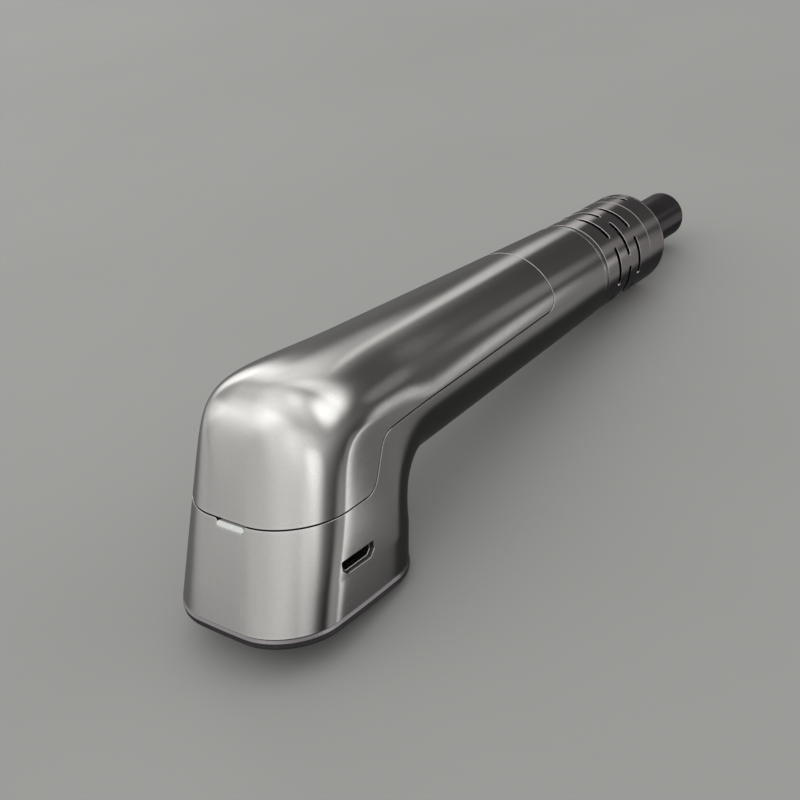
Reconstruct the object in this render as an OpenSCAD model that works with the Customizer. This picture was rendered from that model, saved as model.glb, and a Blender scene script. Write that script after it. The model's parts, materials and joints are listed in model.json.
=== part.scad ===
// Cordless dental curing light: short foot, wide bend, tapering round arm,
// slotted cooling collar and a turning light guide. Millimetres.
// Layout frame: the foot stands square on Z = 0, centred on the Z axis, and the
// arm runs over it towards +X. The crook is the hollow under the arm, on the +X
// side of the foot. The whole assembly is then tipped about Y so it lies on a
// bench, on the crook-side edge of the foot pad and the front rim of the collar.

/* [Foot] */
// Foot length along the arm, at the pad seam
foot_l = 37.7; // [36.5:0.1:39]
// Foot width, at the pad seam
foot_w = 31.8; // [31:0.1:32.6]
// Plan corner radius of the foot
foot_r = 10.5; // [9.5:0.1:11]
// Thickness of the rubber pad
pad_t = 2; // [1.8:0.1:2.4]
// Lean of the outer face (-X), run per unit of height
lean_outer = 0.2615; // [0.24:0.005:0.28]
// Lean of the crook face (+X), run per unit of height
lean_crook = 0.1874; // [0.17:0.005:0.2]

/* [Arm] */
// Height of the arm axis over the bench side of the pad
arm_z = 26.7; // [26:0.1:27.2]
// Rise of the arm axis against the foot, degrees
arm_rise = 1.2; // [0.8:0.1:1.6]
// Arm radius carried back to the foot centre
arm_r0 = 13.88; // [13.7:0.01:14.1]
// Loss of arm radius per unit of length
arm_taper = 0.03176; // [0.031:0.0002:0.0325]
// Station where the arm meets the joint ring
arm_end = 92.6; // [92:0.1:93]
// Wall of the housing and cover
wall = 1.4; // [1.2:0.05:1.5]

/* [Seam] */
// Height of the seam round the foot, over the pad side
seam_z = 19.2; // [18.8:0.1:19.8]
// Station where the cover ends on the arm
cover_end = 70.7; // [69:0.1:72]
// Shadow gap between cover and housing
seam_gap = 0.12; // [0.08:0.01:0.2]

/* [Collar] */
// Outer radius of the slotted collar
collar_r = 10.81; // [10.7:0.01:10.9]
// Inner radius of the slotted collar
bore_r = 9.6; // [9.5:0.01:9.7]
// Slot width
slot_w = 1.15; // [0.9:0.05:1.3]
// Angular length of one slot, degrees
slot_angle = 48; // [40:1:52]

/* [Light guide] */
// Outer radius of the dark guide sleeve
tip_r = 5.55; // [5.3:0.05:5.7]
// Radius of the fibre rod
rod_r = 3.5; // [3.2:0.05:3.6]

/* [Battery] */
// Cell radius
cell_r = 7; // [6.8:0.05:7.1]
// Cell length without the nub
cell_l = 50; // [49:0.1:50.5]

/* [View] */
// Node to draw

/* [Hidden] */

// Stations (names ending in _s) are distances along the arm axis
cell_s = 20;             // back end of the battery cell
cell_end_s = cell_s + cell_l;
magnet_s = 8;
trigger_s = 44;
joint_s = 94.45;         // front shoulder of the joint ring
sink_end_s = 112;        // front end of the heat sink
split_s = 114.6;         // hairline between slotted collar and front ring
guide_s = 119;           // back end of the light guide
o_ring_s = [120.2, 121.6];
rim_s = 122.05;          // front rim of the collar
tip_s = 143.95;          // free end of the light guide
joint_gap = 0.06;        // each side of the joint shoulders
split_gap = 0.03;        // each side of the hairline

// Places in the foot
pad_inset = 0.5;         // step in round the bench side of the pad
port_x = -1.3;
port_z = 10.3;           // middle of the socket mouth
boss_x = [-11.2, 12.3];  // sole screws
boss_z = 3.65;
boss_h = 3;
post_x = [-8.5, 11.5];   // board posts
post_y = [-9.5, 9.5];
board_z = 8.1;
board_t = 1;
board_top = board_z + board_t;

magnet_y = [-4.2, 4.2];
magnet_r = 2;
pocket_r = 2.02;
cup_r = 2.6;

// ---- frames and basic shapes -------------------------------------------
// Rest attitude: a straight edge touches the pad's lower edge and the collar rim
rim_x = rim_s*cos(arm_rise) + collar_r*sin(arm_rise);
rim_z = arm_z + rim_s*sin(arm_rise) - collar_r*cos(arm_rise);
heel_x = foot_l/2 - pad_inset;
tilt = atan2(rim_z, rim_x - heel_x);
shift_x = -64.62;

module rest() {
  translate([shift_x, 0, heel_x*sin(tilt)]) rotate([0, tilt, 0]) children();
}
// arm frame: X along the arm from the foot centre, Z away from the crook
module arm() {
  rest() translate([0, 0, arm_z]) rotate([0, -arm_rise, 0]) children();
}
// solid of revolution about the arm axis, profile points [radius, station]
module turned(profile, sides = 96) {
  rotate([0, 90, 0]) rotate_extrude($fn = sides) polygon(profile);
}
// cylinder on the arm axis between two stations
module rod(r, start, end, sides) {
  translate([start, 0, 0]) rotate([0, 90, 0]) cylinder(r = r, h = end - start, $fn = sides);
}
// upright cylinder standing at height z
module disc(r, z, h, sides) {
  translate([0, 0, z]) cylinder(r = r, h = h, $fn = sides);
}
module at_bosses() {
  for (x = boss_x) translate([x, 0, 0]) children();
}
module at_posts() {
  for (x = post_x, y = post_y) translate([x, y, 0]) children();
}
module at_magnets() {
  for (y = magnet_y) translate([magnet_s, y, 0]) children();
}

// ---- body loft: foot, bend and arm --------------------------------------
side_lean = 0.034;       // loss of foot half width per unit of height
corner_growth = 0.05;    // gain of foot corner radius per unit of height
arm_round = 0.985;       // corner radius of an arm section, share of its radius
function arm_r(s) = arm_r0 - arm_taper*s;
function outer_x(z) = -foot_l/2 + lean_outer*(z - pad_t);
function crook_x(z) = foot_l/2 + lean_crook*(z - pad_t);
function half_w(z) = foot_w/2 - side_lean*(z - pad_t);
function corner_r(z) = foot_r + corner_growth*(z - pad_t);

// The bend is a fan of sections about this point
fan_x = 26.4;
fan_z = 8.6;
bend_angle = 90 - arm_rise;
bend_rad = bend_angle*PI/180;
// the fan point in the arm frame: station, and height over the axis
bend_s = fan_x*cos(arm_rise) + (fan_z - arm_z)*sin(arm_rise);
fan_h = -fan_x*sin(arm_rise) + (fan_z - arm_z)*cos(arm_rise);
bend_r = arm_r(bend_s);
// distances from the fan point to the near and far wall, at foot and arm
near_foot = fan_x - crook_x(fan_z);
near_arm = -bend_r - fan_h;
far_foot = fan_x - outer_x(fan_z);
far_arm = bend_r - fan_h;
mid_foot = (near_foot + far_foot)/2;
mid_arm = (near_arm + far_arm)/2;

// distance at fan angle t to the foot's outer face and to the arm's top line
function to_face(t) = far_foot/(cos(t) + lean_outer*sin(t));
function to_top(t) = let(k = t - bend_angle) far_arm/(cos(k) + arm_taper*sin(k));
// rounded minimum of the two; near the foot the top line is too far off to count
far_power = 9.5;
function far_wall(t) = let(top = t < 8 ? 1e6 : to_top(t))
  pow(pow(to_face(t), -far_power) + pow(top, -far_power), -1/far_power);
// cubic from a to b over u = 0..1, with end slopes per radian of the bend
function blend(u, a, b, slope_a, slope_b) = a + (b - a)*u*u*(3 - 2*u)
  + (slope_a*u*(1 - u)*(1 - u) - slope_b*u*u*(1 - u))*bend_rad;

// section = [centre x, centre z, direction x, direction z,
//            half size along the direction, half width in Y, corner radius]
function foot_section(z) = [(outer_x(z) + crook_x(z))/2, z, -1, 0,
  (crook_x(z) - outer_x(z))/2, half_w(z), corner_r(z)];
// the bend leaves the foot and meets the arm with their own slopes
function bend_section(t) = let(
    u = t/bend_angle,
    near = blend(u, near_foot, near_arm, -lean_crook*near_foot, arm_taper*near_arm),
    far = far_wall(t),
    mid = (near + far)/2,
    half = (far - near)/2,
    side = blend(u, half_w(fan_z), bend_r, -side_lean*mid_foot, -arm_taper*mid_arm),
    corner = blend(u, corner_r(fan_z), arm_round*bend_r, corner_growth*mid_foot, 0))
  [fan_x - mid*cos(t), fan_z + mid*sin(t), -cos(t), sin(t), half, side,
    min(corner, 0.99*min(side, half))];
function arm_section(s) = [s*cos(arm_rise), arm_z + s*sin(arm_rise),
  -sin(arm_rise), cos(arm_rise), arm_r(s), arm_r(s), arm_round*arm_r(s)];
bend_steps = 12;
sections = concat(
  [for (z = [pad_t, 5.3, fan_z]) foot_section(z)],
  [for (i = [1:bend_steps - 1]) bend_section(bend_angle*i/bend_steps)],
  [for (s = [bend_s, 48, arm_end]) arm_section(s)]);

// rounded rectangle with half sizes a and b, corner by corner
corner_steps = 7;
ring_n = 4*(corner_steps + 1);
function rounded_rect(a, b, r) = [for (k = [0:3]) for (i = [0:corner_steps]) let(
    angle = 90*k + 90*i/corner_steps,
    side_a = (k == 0 || k == 3) ? 1 : -1,
    side_b = (k == 0 || k == 1) ? 1 : -1)
  [side_a*(a - r) + r*cos(angle), side_b*(b - r) + r*sin(angle)]];
// points of a section, set in by the given distance
function section_ring(s, inset) =
  [for (p = rounded_rect(s[4] - inset, s[5] - inset, s[6] - inset))
    [s[0] + p[0]*s[2], p[1], s[1] + p[0]*s[3]]];

function flat(list) = [for (a = list) for (b = a) b];
function quad(a, b, c, d) = [[a, b, c], [a, c, d]];
// triangles between two rings of n points whose first indices are p and q
function band(p, q, n, flip = false) = flat([for (i = [0:n - 1]) let(j = (i + 1)%n)
  flip ? quad(p + i, q + i, q + j, p + j) : quad(p + i, p + j, q + j, q + i)]);

// one closed skin: outer wall, inner wall and the two rims between them
module shell() {
  outer = flat([for (s = sections) section_ring(s, 0)]);
  inner = flat([for (s = sections) section_ring(s, wall)]);
  inner_0 = len(outer);
  last = inner_0 - ring_n;
  starts = [0:ring_n:last - ring_n];
  faces = concat(
    flat([for (p = starts) band(p, p + ring_n, ring_n)]),
    flat([for (p = starts) band(inner_0 + p, inner_0 + p + ring_n, ring_n, flip = true)]),
    band(0, inner_0, ring_n, flip = true),
    band(last, inner_0 + last, ring_n));
  polyhedron(points = concat(outer, inner), faces = faces, convexity = 8);
}

// ---- seam between cover and housing, a profile in the XZ plane ----------
function unit(v) = v/norm(v);
// arc of radius r rounding the corner c between the points p and q
fillet_steps = 6;
function fillet(p, c, q, r) = let(
    u = unit(p - c),
    v = unit(q - c),
    half = acos(u*v)/2,
    reach = r/tan(half),
    centre = c + unit(u + v)*(r/sin(half)),
    first = c + u*reach - centre,
    last = c + v*reach - centre,
    start = atan2(first[1], first[0]),
    turn = atan2(last[1], last[0]) - start,
    sweep = turn > 180 ? turn - 360 : turn < -180 ? turn + 360 : turn)
  [for (i = [0:fillet_steps]) let(a = start + sweep*i/fillet_steps)
    centre + r*[cos(a), sin(a)]];
seam_outer = [-60, seam_z];
seam_low = [5.2, seam_z];
seam_high = [9.8, 27.7];
seam_end = [cover_end*cos(arm_rise) - 3.2*sin(arm_rise), 29.95];
seam_top = seam_end + 60*[-sin(arm_rise), cos(arm_rise)];
seam_outline = concat([seam_outer],
  fillet(seam_outer, seam_low, seam_high, 4),
  fillet(seam_low, seam_high, seam_end, 4),
  fillet(seam_high, seam_end, seam_top, 3.6),
  [seam_top, [seam_outer[0], seam_top[1]]]);
module above_seam() {
  translate([0, 30, 0]) rotate([90, 0, 0]) linear_extrude(height = 60) polygon(seam_outline);
}

// ---- housing, cover and sole ---------------------------------------------
// plan outline of the foot, set in and raised between two heights
module plan_prism(bottom, top, inset) {
  translate([0, 0, bottom]) linear_extrude(height = top - bottom)
    polygon(rounded_rect(foot_l/2 - inset, foot_w/2 - inset, foot_r - inset));
}
// socket outline: rectangle with both lower corners cut off
module port_outline(half_top, half_bottom, half_h, shoulder) {
  polygon([[-half_top, half_h], [half_top, half_h], [half_top, shoulder],
    [half_bottom, -half_h], [-half_bottom, -half_h], [-half_top, shoulder]]);
}

module lower_housing() {
  difference() {
    rest() difference() {
      union() {
        difference() {
          shell();
          above_seam();
        }
        // screw bosses for the sole plate, carried by ribs from the end walls
        at_bosses() disc(2.4, boss_z, boss_h, 32);
        for (rib = [[-17.4, boss_x[0]], [boss_x[1], 18.6]])
          translate([rib[0], -1.8, boss_z]) cube([rib[1] - rib[0], 3.6, boss_h]);
      }
      at_bosses() disc(1.2, 3, 3.1, 32);
    }
    // socket mouth
    rest() translate([port_x, -12, port_z]) rotate([90, 0, 0])
      linear_extrude(height = 8) port_outline(4.05, 3, 1.3, -0.2);
    // notch for the light bar
    rest() translate([-18, -3.85, seam_z - 1.35]) cube([6, 6.2, 3]);
    // trigger hole through the crook side of the arm
    arm() translate([trigger_s, 0, 0]) disc(4.3, -16, 6, 64);
  }
}
module upper_cover() {
  rest() intersection() {
    shell();
    translate([-0.1, 0, seam_gap]) above_seam();
  }
  // magnet cups under the roof of the cover
  arm() at_magnets() difference() {
    disc(cup_r, 7.3, 4.2, 48);
    disc(pocket_r, 7.2, 1.7, 48);
  }
}
module base_pad() {
  step_z = 0.7;
  rest() {
    plan_prism(step_z, pad_t - 0.02, 0);
    plan_prism(0, step_z, pad_inset);
  }
}
module sole_plate() {
  rest() difference() {
    union() {
      plan_prism(pad_t, 3.6, wall + 0.5);
      at_posts() disc(2, 3.5, 4.6, 32);
    }
    at_posts() disc(0.8, 4.4, 5, 24);
    at_bosses() disc(1.25, 1, 5, 24);
    at_bosses() disc(2.2, pad_t - 1, 1.9, 24);
  }
}
module sole_screws() {
  rest() at_bosses() {
    translate([0, 0, pad_t + 0.05]) difference() {
      disc(2.1, 0, 0.8, 24);
      disc(0.9, -0.1, 0.5, 6);
    }
    disc(1.15, pad_t + 0.8, 3, 24);
  }
}

// ---- electronics in the foot ----------------------------------------------
// bar in the outer wall, with a leg down and a foot towards the LED
module status_light() {
  rest() translate([-16.4, -3.75, seam_z - 1.3]) {
    translate([1.95, 0, 0]) cube([1.9, 6, 1.25]);
    translate([3.2, 2.1, -7.7]) cube([0.65, 1.8, 7.9]);
    translate([3.2, 2.1, -7.7]) cube([3.1, 1.8, 0.65]);
  }
}
module status_led() {
  rest() translate([-11.1, -1.55, board_top]) cube([0.9, 1.6, 0.95]);
}
module usb_shell() {
  rest() translate([port_x, -9.8, port_z - 0.05]) rotate([90, 0, 0])
    linear_extrude(height = 5.2) difference() {
      port_outline(3.75, 2.85, 1.12, -0.2);
      port_outline(3.45, 2.65, 0.85, -0.1);
    }
}
module usb_tongue() {
  rest() translate([port_x, 0, port_z - 0.05]) {
    translate([-3.4, -10.6, -0.08]) cube([6.8, 0.8, 0.9]);
    translate([-1.9, -13.9, 0.05]) cube([3.8, 3.4, 0.6]);
  }
}
module main_board() {
  rest() translate([0, 0, board_z]) difference() {
    linear_extrude(height = board_t)
      polygon([[-10, -12.9], [12, -12.9], [13.5, -11.4], [13.5, 11.4],
        [12, 12.9], [-10, 12.9], [-11.5, 11.4], [-11.5, -11.4]]);
    at_posts() disc(1.1, -1, 3, 24);
  }
}
module board_screws() {
  rest() at_posts() {
    translate([0, 0, board_top]) difference() {
      disc(1.7, 0, 0.9, 24);
      disc(0.75, 0.5, 1, 6);
    }
    disc(0.78, 5.2, 4, 24);
  }
}
module controller_chip() {
  size = 5;
  leg_out = 0.5;
  leg_span = size + 2*leg_out;
  rest() translate([2.5, 0.5, board_top]) {
    translate([0, 0, 0.15]) cube([size, size, 0.9]);
    // legs run right through under the body, both ways
    for (i = [0:5]) {
      translate([0.35 + 0.8*i, -leg_out, 0]) cube([0.3, leg_span, 0.2]);
      translate([-leg_out, 0.35 + 0.8*i, 0]) cube([leg_span, 0.3, 0.2]);
    }
  }
}
module charge_coil() {
  rest() translate([-5.5, -1.5, board_top]) difference() {
    union() {
      for (z = [0, 2.2]) translate([-2.5, -2.5, z]) cube([5, 5, 0.6]);
      disc(2.3, 0, 2.6, 40);
    }
    disc(0.8, 2.5, 1, 24);
  }
}
module capacitors() {
  rest() for (x = [-6, -3, 0]) translate([x, 5.5, board_top]) cube([1.6, 3.2, 1.3]);
}
module buzzer() {
  rest() translate([7, -6.8, board_top]) difference() {
    disc(3.3, 0, 3.2, 48);
    disc(0.7, 2.6, 1, 24);
  }
}
module flex_socket() {
  rest() translate([8.8, -2.9, board_top]) difference() {
    cube([2.2, 5.8, 1.5]);
    translate([0.35, 0.5, 0.5]) cube([1.2, 4.8, 2]);
  }
}

// ---- chassis and battery ---------------------------------------------------
module chassis() {
  arm() difference() {
    union() {
      // half tube under the cell with saddles that stand it off the wall
      rod(8.4, 15.2, 74, 72);
      rod(11.6, 20.5, 22.1, 72);
      rod(10.2, 66, 67.6, 72);
      // deck for the magnets behind the cell
      translate([4, -8.2, 0.2]) cube([11.3, 16.4, 1.4]);
      at_magnets() disc(cup_r, 1.5, 5.6, 48);
    }
    rod(cell_r + 0.2, 16.6, 72.4, 72);
    // open top and the groove for the flex strip
    translate([15.9, -12, 1.6]) cube([70, 24, 12]);
    translate([10, -2.6, -12]) cube([70, 5.2, 3.7]);
    at_magnets() disc(pocket_r, 5.4, 3, 48);
    at_magnets() disc(1.2, 0, 4, 24);
  }
}
// plain cell with a shallow groove near the front and a nub on the end
module battery_cell() {
  arm() turned([[0, cell_s], [cell_r - 0.4, cell_s], [cell_r, cell_s + 0.4],
    [cell_r, cell_end_s - 1.6], [cell_r - 0.25, cell_end_s - 1.2],
    [cell_r, cell_end_s - 0.8], [cell_r - 0.3, cell_end_s], [2.8, cell_end_s],
    [2.6, cell_end_s + 1], [0, cell_end_s + 1]], 72);
}
module battery_contact() {
  arm() {
    rod(4.2, 71.1, 71.4, 48);
    translate([71.4, -1.5, -1.5]) cube([1, 3, 3]);
  }
}
// round wire wound about the arm axis, narrowing towards the cell
module battery_spring() {
  turns = 3.5;
  steps = 44;
  wire_n = 6;
  wire_r = 0.3;
  start = [4.6, 16.98];  // [coil radius, station]
  end = [2.6, 19.6];
  points = [for (i = [0:steps]) for (j = [0:wire_n - 1]) let(
      turn = 360*turns*i/steps,
      around = 360*j/wire_n,
      centre = start + (end - start)*i/steps,
      r = centre[0] + wire_r*sin(around))
    [centre[1] + wire_r*cos(around), r*cos(turn), r*sin(turn)]];
  faces = concat(
    [[for (j = [0:wire_n - 1]) j]],
    flat([for (i = [0:steps - 1]) band(i*wire_n, (i + 1)*wire_n, wire_n, flip = true)]),
    [[for (j = [0:wire_n - 1]) steps*wire_n + wire_n - 1 - j]]);
  arm() polyhedron(points = points, faces = faces, convexity = 6);
}
// strip from the board socket, under the chassis, up to the lamp wires
module flex_circuit() {
  width = 4.4;
  arm() translate([0, width/2, 0]) rotate([90, 0, 0]) linear_extrude(height = width)
    polygon([[9.2, -16.9], [9.4, -16.9], [13.2, -8.7], [84, -8.7], [86, -1.4], [88.6, -1.4],
      [88.6, -1.2], [85.85, -1.2], [83.85, -8.5], [13.06, -8.5]]);
}

// ---- trigger and magnets ----------------------------------------------------
module tact_switch() {
  arm() translate([trigger_s, 0, 0]) {
    translate([-2.1, -2.1, -9.26]) cube([4.2, 4.2, 0.55]);
    disc(1.1, -9.5, 0.4, 32);
  }
}
module trigger_button() {
  arm() translate([trigger_s, 0, 0]) {
    rotate([180, 0, 0]) rotate_extrude($fn = 72)
      polygon([[0, 9.98], [1.2, 9.98], [1.2, 10.3], [4.25, 10.3], [4.25, 12.8],
        [3.85, 13.2], [2.6, 13.2], [0, 12.9]]);
    // two ears along the arm keep it from falling out
    translate([-5.8, -1.9, -10.7]) cube([11.6, 3.8, 0.4]);
  }
}
module cover_magnets() {
  arm() at_magnets() disc(magnet_r, 7.35, 1.5, 48);
}
module chassis_magnets() {
  arm() at_magnets() disc(magnet_r, 5.45, 1.6, 48);
}

// ---- lamp and collar ----------------------------------------------------------
module joint_ring() {
  back_r = arm_r(arm_end) - 0.05;
  back = arm_end + joint_gap;
  front = joint_s - joint_gap;
  arm() turned([[7.9, 87.5], [9.4, 87.5], [9.4, back], [back_r - 0.25, back],
    [back_r, arm_end + 0.3], [collar_r, joint_s - 0.3], [collar_r - 0.25, front],
    [9.55, front], [9.55, 97.6], [7.9, 97.6]]);
}
module heat_sink() {
  core_r = 6.4;
  fin_r = 9.1;
  fins = [for (i = [0:5])
    for (p = [[core_r, 0], [fin_r, 0.35], [fin_r, 1.15], [core_r, 1.5]])
      [p[0], 98.6 + 2.2*i + p[1]]];
  arm() turned(concat([[2, 89], [7.85, 89], [7.85, 98], [core_r, 98]], fins,
    [[7.9, sink_end_s], [2, sink_end_s]]));
}
module lamp_wires() {
  arm() for (y = [-1, 1]) translate([0, y, -0.65]) rod(0.5, 87.4, sink_end_s - 0.02, 24);
}
module led_board() {
  arm() difference() {
    rod(8, sink_end_s + 0.02, 113, 64);
    for (y = [-6, 6]) translate([0, y, 0]) rod(0.8, 111, 114, 24);
  }
}
module led_emitter() {
  arm() {
    translate([113, -2.5, -2.5]) cube([0.8, 5, 5]);
    turned([[0, 113.6], [1.7, 113.6], [1.7, 114.1], [1.35, 114.7], [0.8, 115.05],
      [0, 115.2]], 48);
  }
}
module reflector() {
  arm() turned([[3.7, 113.05], [8.3, 113.05], [8.3, 118.6], [5.9, 118.6], [5.2, 116.9],
    [4.4, 115], [3.7, 113.9]], 72);
}
// six slots with round ends, each slot_angle long over all
module slot_row(station, offset_angle) {
  end_angle = (slot_w/2)/collar_r*180/PI;
  sweep = slot_angle - 2*end_angle;
  cut_r = bore_r - 0.6;
  cut_depth = 2.4;
  for (i = [0:5]) translate([station, 0, 0]) rotate([offset_angle + 60*i + end_angle, 0, 0]) {
    rotate([0, 90, 0]) rotate([0, 0, 180]) rotate_extrude(angle = sweep, $fn = 96)
      translate([cut_r, -slot_w/2]) square([cut_depth, slot_w]);
    for (a = [0, sweep]) rotate([a, 0, 0]) disc(0.96*slot_w/2, cut_r, cut_depth, 24);
  }
}
module vent_collar() {
  back = joint_s + joint_gap;
  front = split_s - split_gap;
  arm() difference() {
    turned([[bore_r, back], [collar_r - 0.25, back], [collar_r, joint_s + 0.3],
      [collar_r, split_s - 0.1], [collar_r - 0.1, front], [bore_r, front]]);
    slot_row(99.8, 0);
    slot_row(104.5, 30);
    slot_row(109.1, 0);
  }
}
module front_ring() {
  back = split_s + split_gap;
  arm() difference() {
    turned([[8.6, 111.6], [9.55, 111.6], [9.55, back], [collar_r - 0.1, back],
      [collar_r, split_s + 0.1], [collar_r, rim_s - 0.5], [collar_r - 0.15, rim_s - 0.15],
      [collar_r - 0.5, rim_s], [7.2, rim_s], [6.6, rim_s - 0.6], [6.6, 119.7], [8.6, 119.7]]);
    // three small holes side by side on top
    for (a = [-10, 1.5, 13]) rotate([a, 0, 0]) translate([118.6, 0, 0]) disc(0.55, 8, 5, 24);
  }
}

// ---- light guide -----------------------------------------------------------------
module guide_bush() {
  arm() turned([[4.3, 118.75], [7.5, 118.75], [7.5, 119.62], [6.55, 119.62],
    [6.55, 122.2], [6.1, 122.9], [4.9, 122.9], [4.3, 122.5]]);
}
module guide_o_rings() {
  arm() for (s = o_ring_s) translate([s, 0, 0]) rotate([0, 90, 0])
    rotate_extrude($fn = 64) translate([4.07, 0]) circle(r = 0.22, $fn = 20);
}
module tip_sleeve() {
  neck_r = 4.25;
  inner_r = rod_r + 0.02;
  arm() difference() {
    turned([[inner_r, guide_s], [neck_r, guide_s], [neck_r, 123.1], [tip_r - 0.4, 123.1],
      [tip_r, 123.5], [tip_r, tip_s - 0.5], [tip_r - 0.15, tip_s - 0.15],
      [tip_r - 0.5, tip_s], [rod_r + 0.5, tip_s], [inner_r, tip_s - 0.5]]);
    // grooves for the O-rings
    for (s = o_ring_s)
      turned([[3.83, s - 0.26], [5, s - 0.26], [5, s + 0.26], [3.83, s + 0.26]]);
  }
}
module light_guide() {
  arm() turned([[0, guide_s], [rod_r - 0.2, guide_s], [rod_r, guide_s + 0.2],
    [rod_r, tip_s - 0.7], [rod_r - 0.3, tip_s - 0.4], [0, tip_s - 0.3]], 64);
}

color([0.72, 0.72, 0.71]) lower_housing();
color([0.76, 0.76, 0.75]) upper_cover();
color([0.1, 0.1, 0.11]) base_pad();
color([0.5, 0.5, 0.52]) sole_plate();
color([0.6, 0.6, 0.62]) sole_screws();
color([0.95, 0.95, 0.96]) status_light();
color([0.9, 0.9, 0.6]) status_led();
color([0.62, 0.62, 0.64]) usb_shell();
color([0.08, 0.08, 0.08]) usb_tongue();
color([0.05, 0.3, 0.14]) main_board();
color([0.6, 0.6, 0.62]) board_screws();
color([0.08, 0.08, 0.09]) controller_chip();
color([0.25, 0.25, 0.27]) charge_coil();
color([0.7, 0.55, 0.3]) capacitors();
color([0.12, 0.12, 0.12]) buzzer();
color([0.85, 0.82, 0.75]) flex_socket();
color([0.2, 0.2, 0.22]) chassis();
color([0.2, 0.4, 0.6]) battery_cell();
color([0.85, 0.7, 0.35]) battery_contact();
color([0.8, 0.75, 0.5]) battery_spring();
color([0.8, 0.5, 0.15]) flex_circuit();
color([0.3, 0.3, 0.3]) tact_switch();
color([0.3, 0.3, 0.32]) trigger_button();
color([0.7, 0.7, 0.72]) cover_magnets();
color([0.7, 0.7, 0.72]) chassis_magnets();
color([0.6, 0.59, 0.58]) joint_ring();
color([0.2, 0.2, 0.21]) heat_sink();
color([0.7, 0.1, 0.1]) lamp_wires();
color([0.9, 0.9, 0.88]) led_board();
color([0.85, 0.8, 0.3]) led_emitter();
color([0.85, 0.85, 0.87]) reflector();
color([0.55, 0.53, 0.53]) vent_collar();
color([0.5, 0.48, 0.48]) front_ring();
color([0.3, 0.3, 0.31]) guide_bush();
color([0.05, 0.05, 0.05]) guide_o_rings();
color([0.1, 0.1, 0.11]) tip_sleeve();
color([0.7, 0.8, 0.85]) light_guide();
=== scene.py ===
"""A cordless light handpiece: a rounded square foot on a rubber pad, a crook, and a tapered
round arm that ends in a vented collar and a tip with a light guide.

Shapes are written in millimetres, X along the handpiece, Y across it (the USB socket is on the
-Y side) and Z up from the foot or away from the crook. The record's joints place these axes in
the world, which is in metres.
"""
import json
import math
import bpy
import numpy as np
from mathutils import Matrix


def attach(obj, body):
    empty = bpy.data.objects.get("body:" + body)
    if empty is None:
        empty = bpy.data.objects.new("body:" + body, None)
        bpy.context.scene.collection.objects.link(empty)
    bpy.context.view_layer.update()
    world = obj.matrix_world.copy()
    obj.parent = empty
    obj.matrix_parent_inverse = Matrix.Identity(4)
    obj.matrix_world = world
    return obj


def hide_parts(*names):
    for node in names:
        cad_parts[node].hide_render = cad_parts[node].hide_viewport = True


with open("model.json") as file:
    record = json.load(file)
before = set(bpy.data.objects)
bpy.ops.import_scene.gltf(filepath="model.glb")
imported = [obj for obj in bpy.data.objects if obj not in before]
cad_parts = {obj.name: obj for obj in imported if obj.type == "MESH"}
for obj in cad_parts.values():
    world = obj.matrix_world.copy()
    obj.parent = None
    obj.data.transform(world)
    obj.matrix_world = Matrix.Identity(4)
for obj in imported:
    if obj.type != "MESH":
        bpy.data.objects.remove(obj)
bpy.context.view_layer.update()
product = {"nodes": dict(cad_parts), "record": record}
RECORD = product["record"]
NODES = product["nodes"]
JOINTS = {joint["name"]: joint for joint in RECORD["behaviour"]["joints"]}

# ---------------------------------------------------------------- driving dimensions (mm)
RISE = math.radians(1.2)            # the arm climbs this much from the foot's plane
PAD_T = 2.0                         # pad thickness
ARM_Z = 26.7                        # arm axis above the foot's centre
END_S = 92.6                        # station along the arm where the housing ends
COLLAR_JOINT_S = 94.45
WALL = 1.4
FOOT_LENGTH, FOOT_WIDTH, FOOT_CORNER = 37.7, 31.8, 10.5
OUTER_LEAN, INNER_LEAN = 0.2615, 0.1874     # slopes of the foot's -X and +X faces
SIDE_LEAN, CORNER_GROWTH = 0.034, 0.05      # narrowing and corner growth with height
ARM_R0, TAPER = 13.88, 0.03176              # arm radius at station 0 and its loss per mm
PIVOT_X, PIVOT_Z = 26.4, 8.6                # centre the crook bends round
BEND = math.pi / 2 - RISE
CROWN = 0.04                                # how far the foot's flats bulge
COLLAR_R = 10.81


# ---------------------------------------------------------------- frames
class Frame:
    """Axes at an origin in metres; points go in as millimetres."""

    def __init__(self, origin, *axes):
        self.origin = origin
        self.axes = axes

    def direction(self, p):
        p = np.asarray(p, float)
        return p[..., 0:1] * self.axes[0] + p[..., 1:2] * self.axes[1] + p[..., 2:3] * self.axes[2]

    def point(self, p):
        return self.origin + self.direction(p) / 1000.0


def unit(vector):
    vector = np.array(vector, float)
    return vector / np.linalg.norm(vector)


ALONG = unit(JOINTS["collar_pull"]["axis"])
AWAY = unit(JOINTS["cover_lift"]["axis"])
ACROSS = np.array([0.0, 1.0, 0.0])
TILT = math.atan2(-ALONG[2], ALONG[0]) + RISE
REST_X = np.array([math.cos(TILT), 0.0, -math.sin(TILT)])
REST_Z = np.array([math.sin(TILT), 0.0, math.cos(TILT)])
# "arm": X along the arm's axis from the foot's centre, Z away from the crook
ARM = Frame(np.array(JOINTS["collar_pull"]["pos_m"], float) - COLLAR_JOINT_S / 1000.0 * ALONG,
            ALONG, ACROSS, AWAY)
# "rest": the foot standing square
REST = Frame(ARM.origin - REST_Z * ARM_Z / 1000.0, REST_X, ACROSS, REST_Z)


def standing(station, y):
    """Frame for pieces whose axis stands away from the arm's at a station."""
    return Frame(ARM.point((station, y, 0)), *ARM.axes)


# ---------------------------------------------------------------- mesh building
FINISHES = {}                       # material by name, filled as they are made


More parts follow.
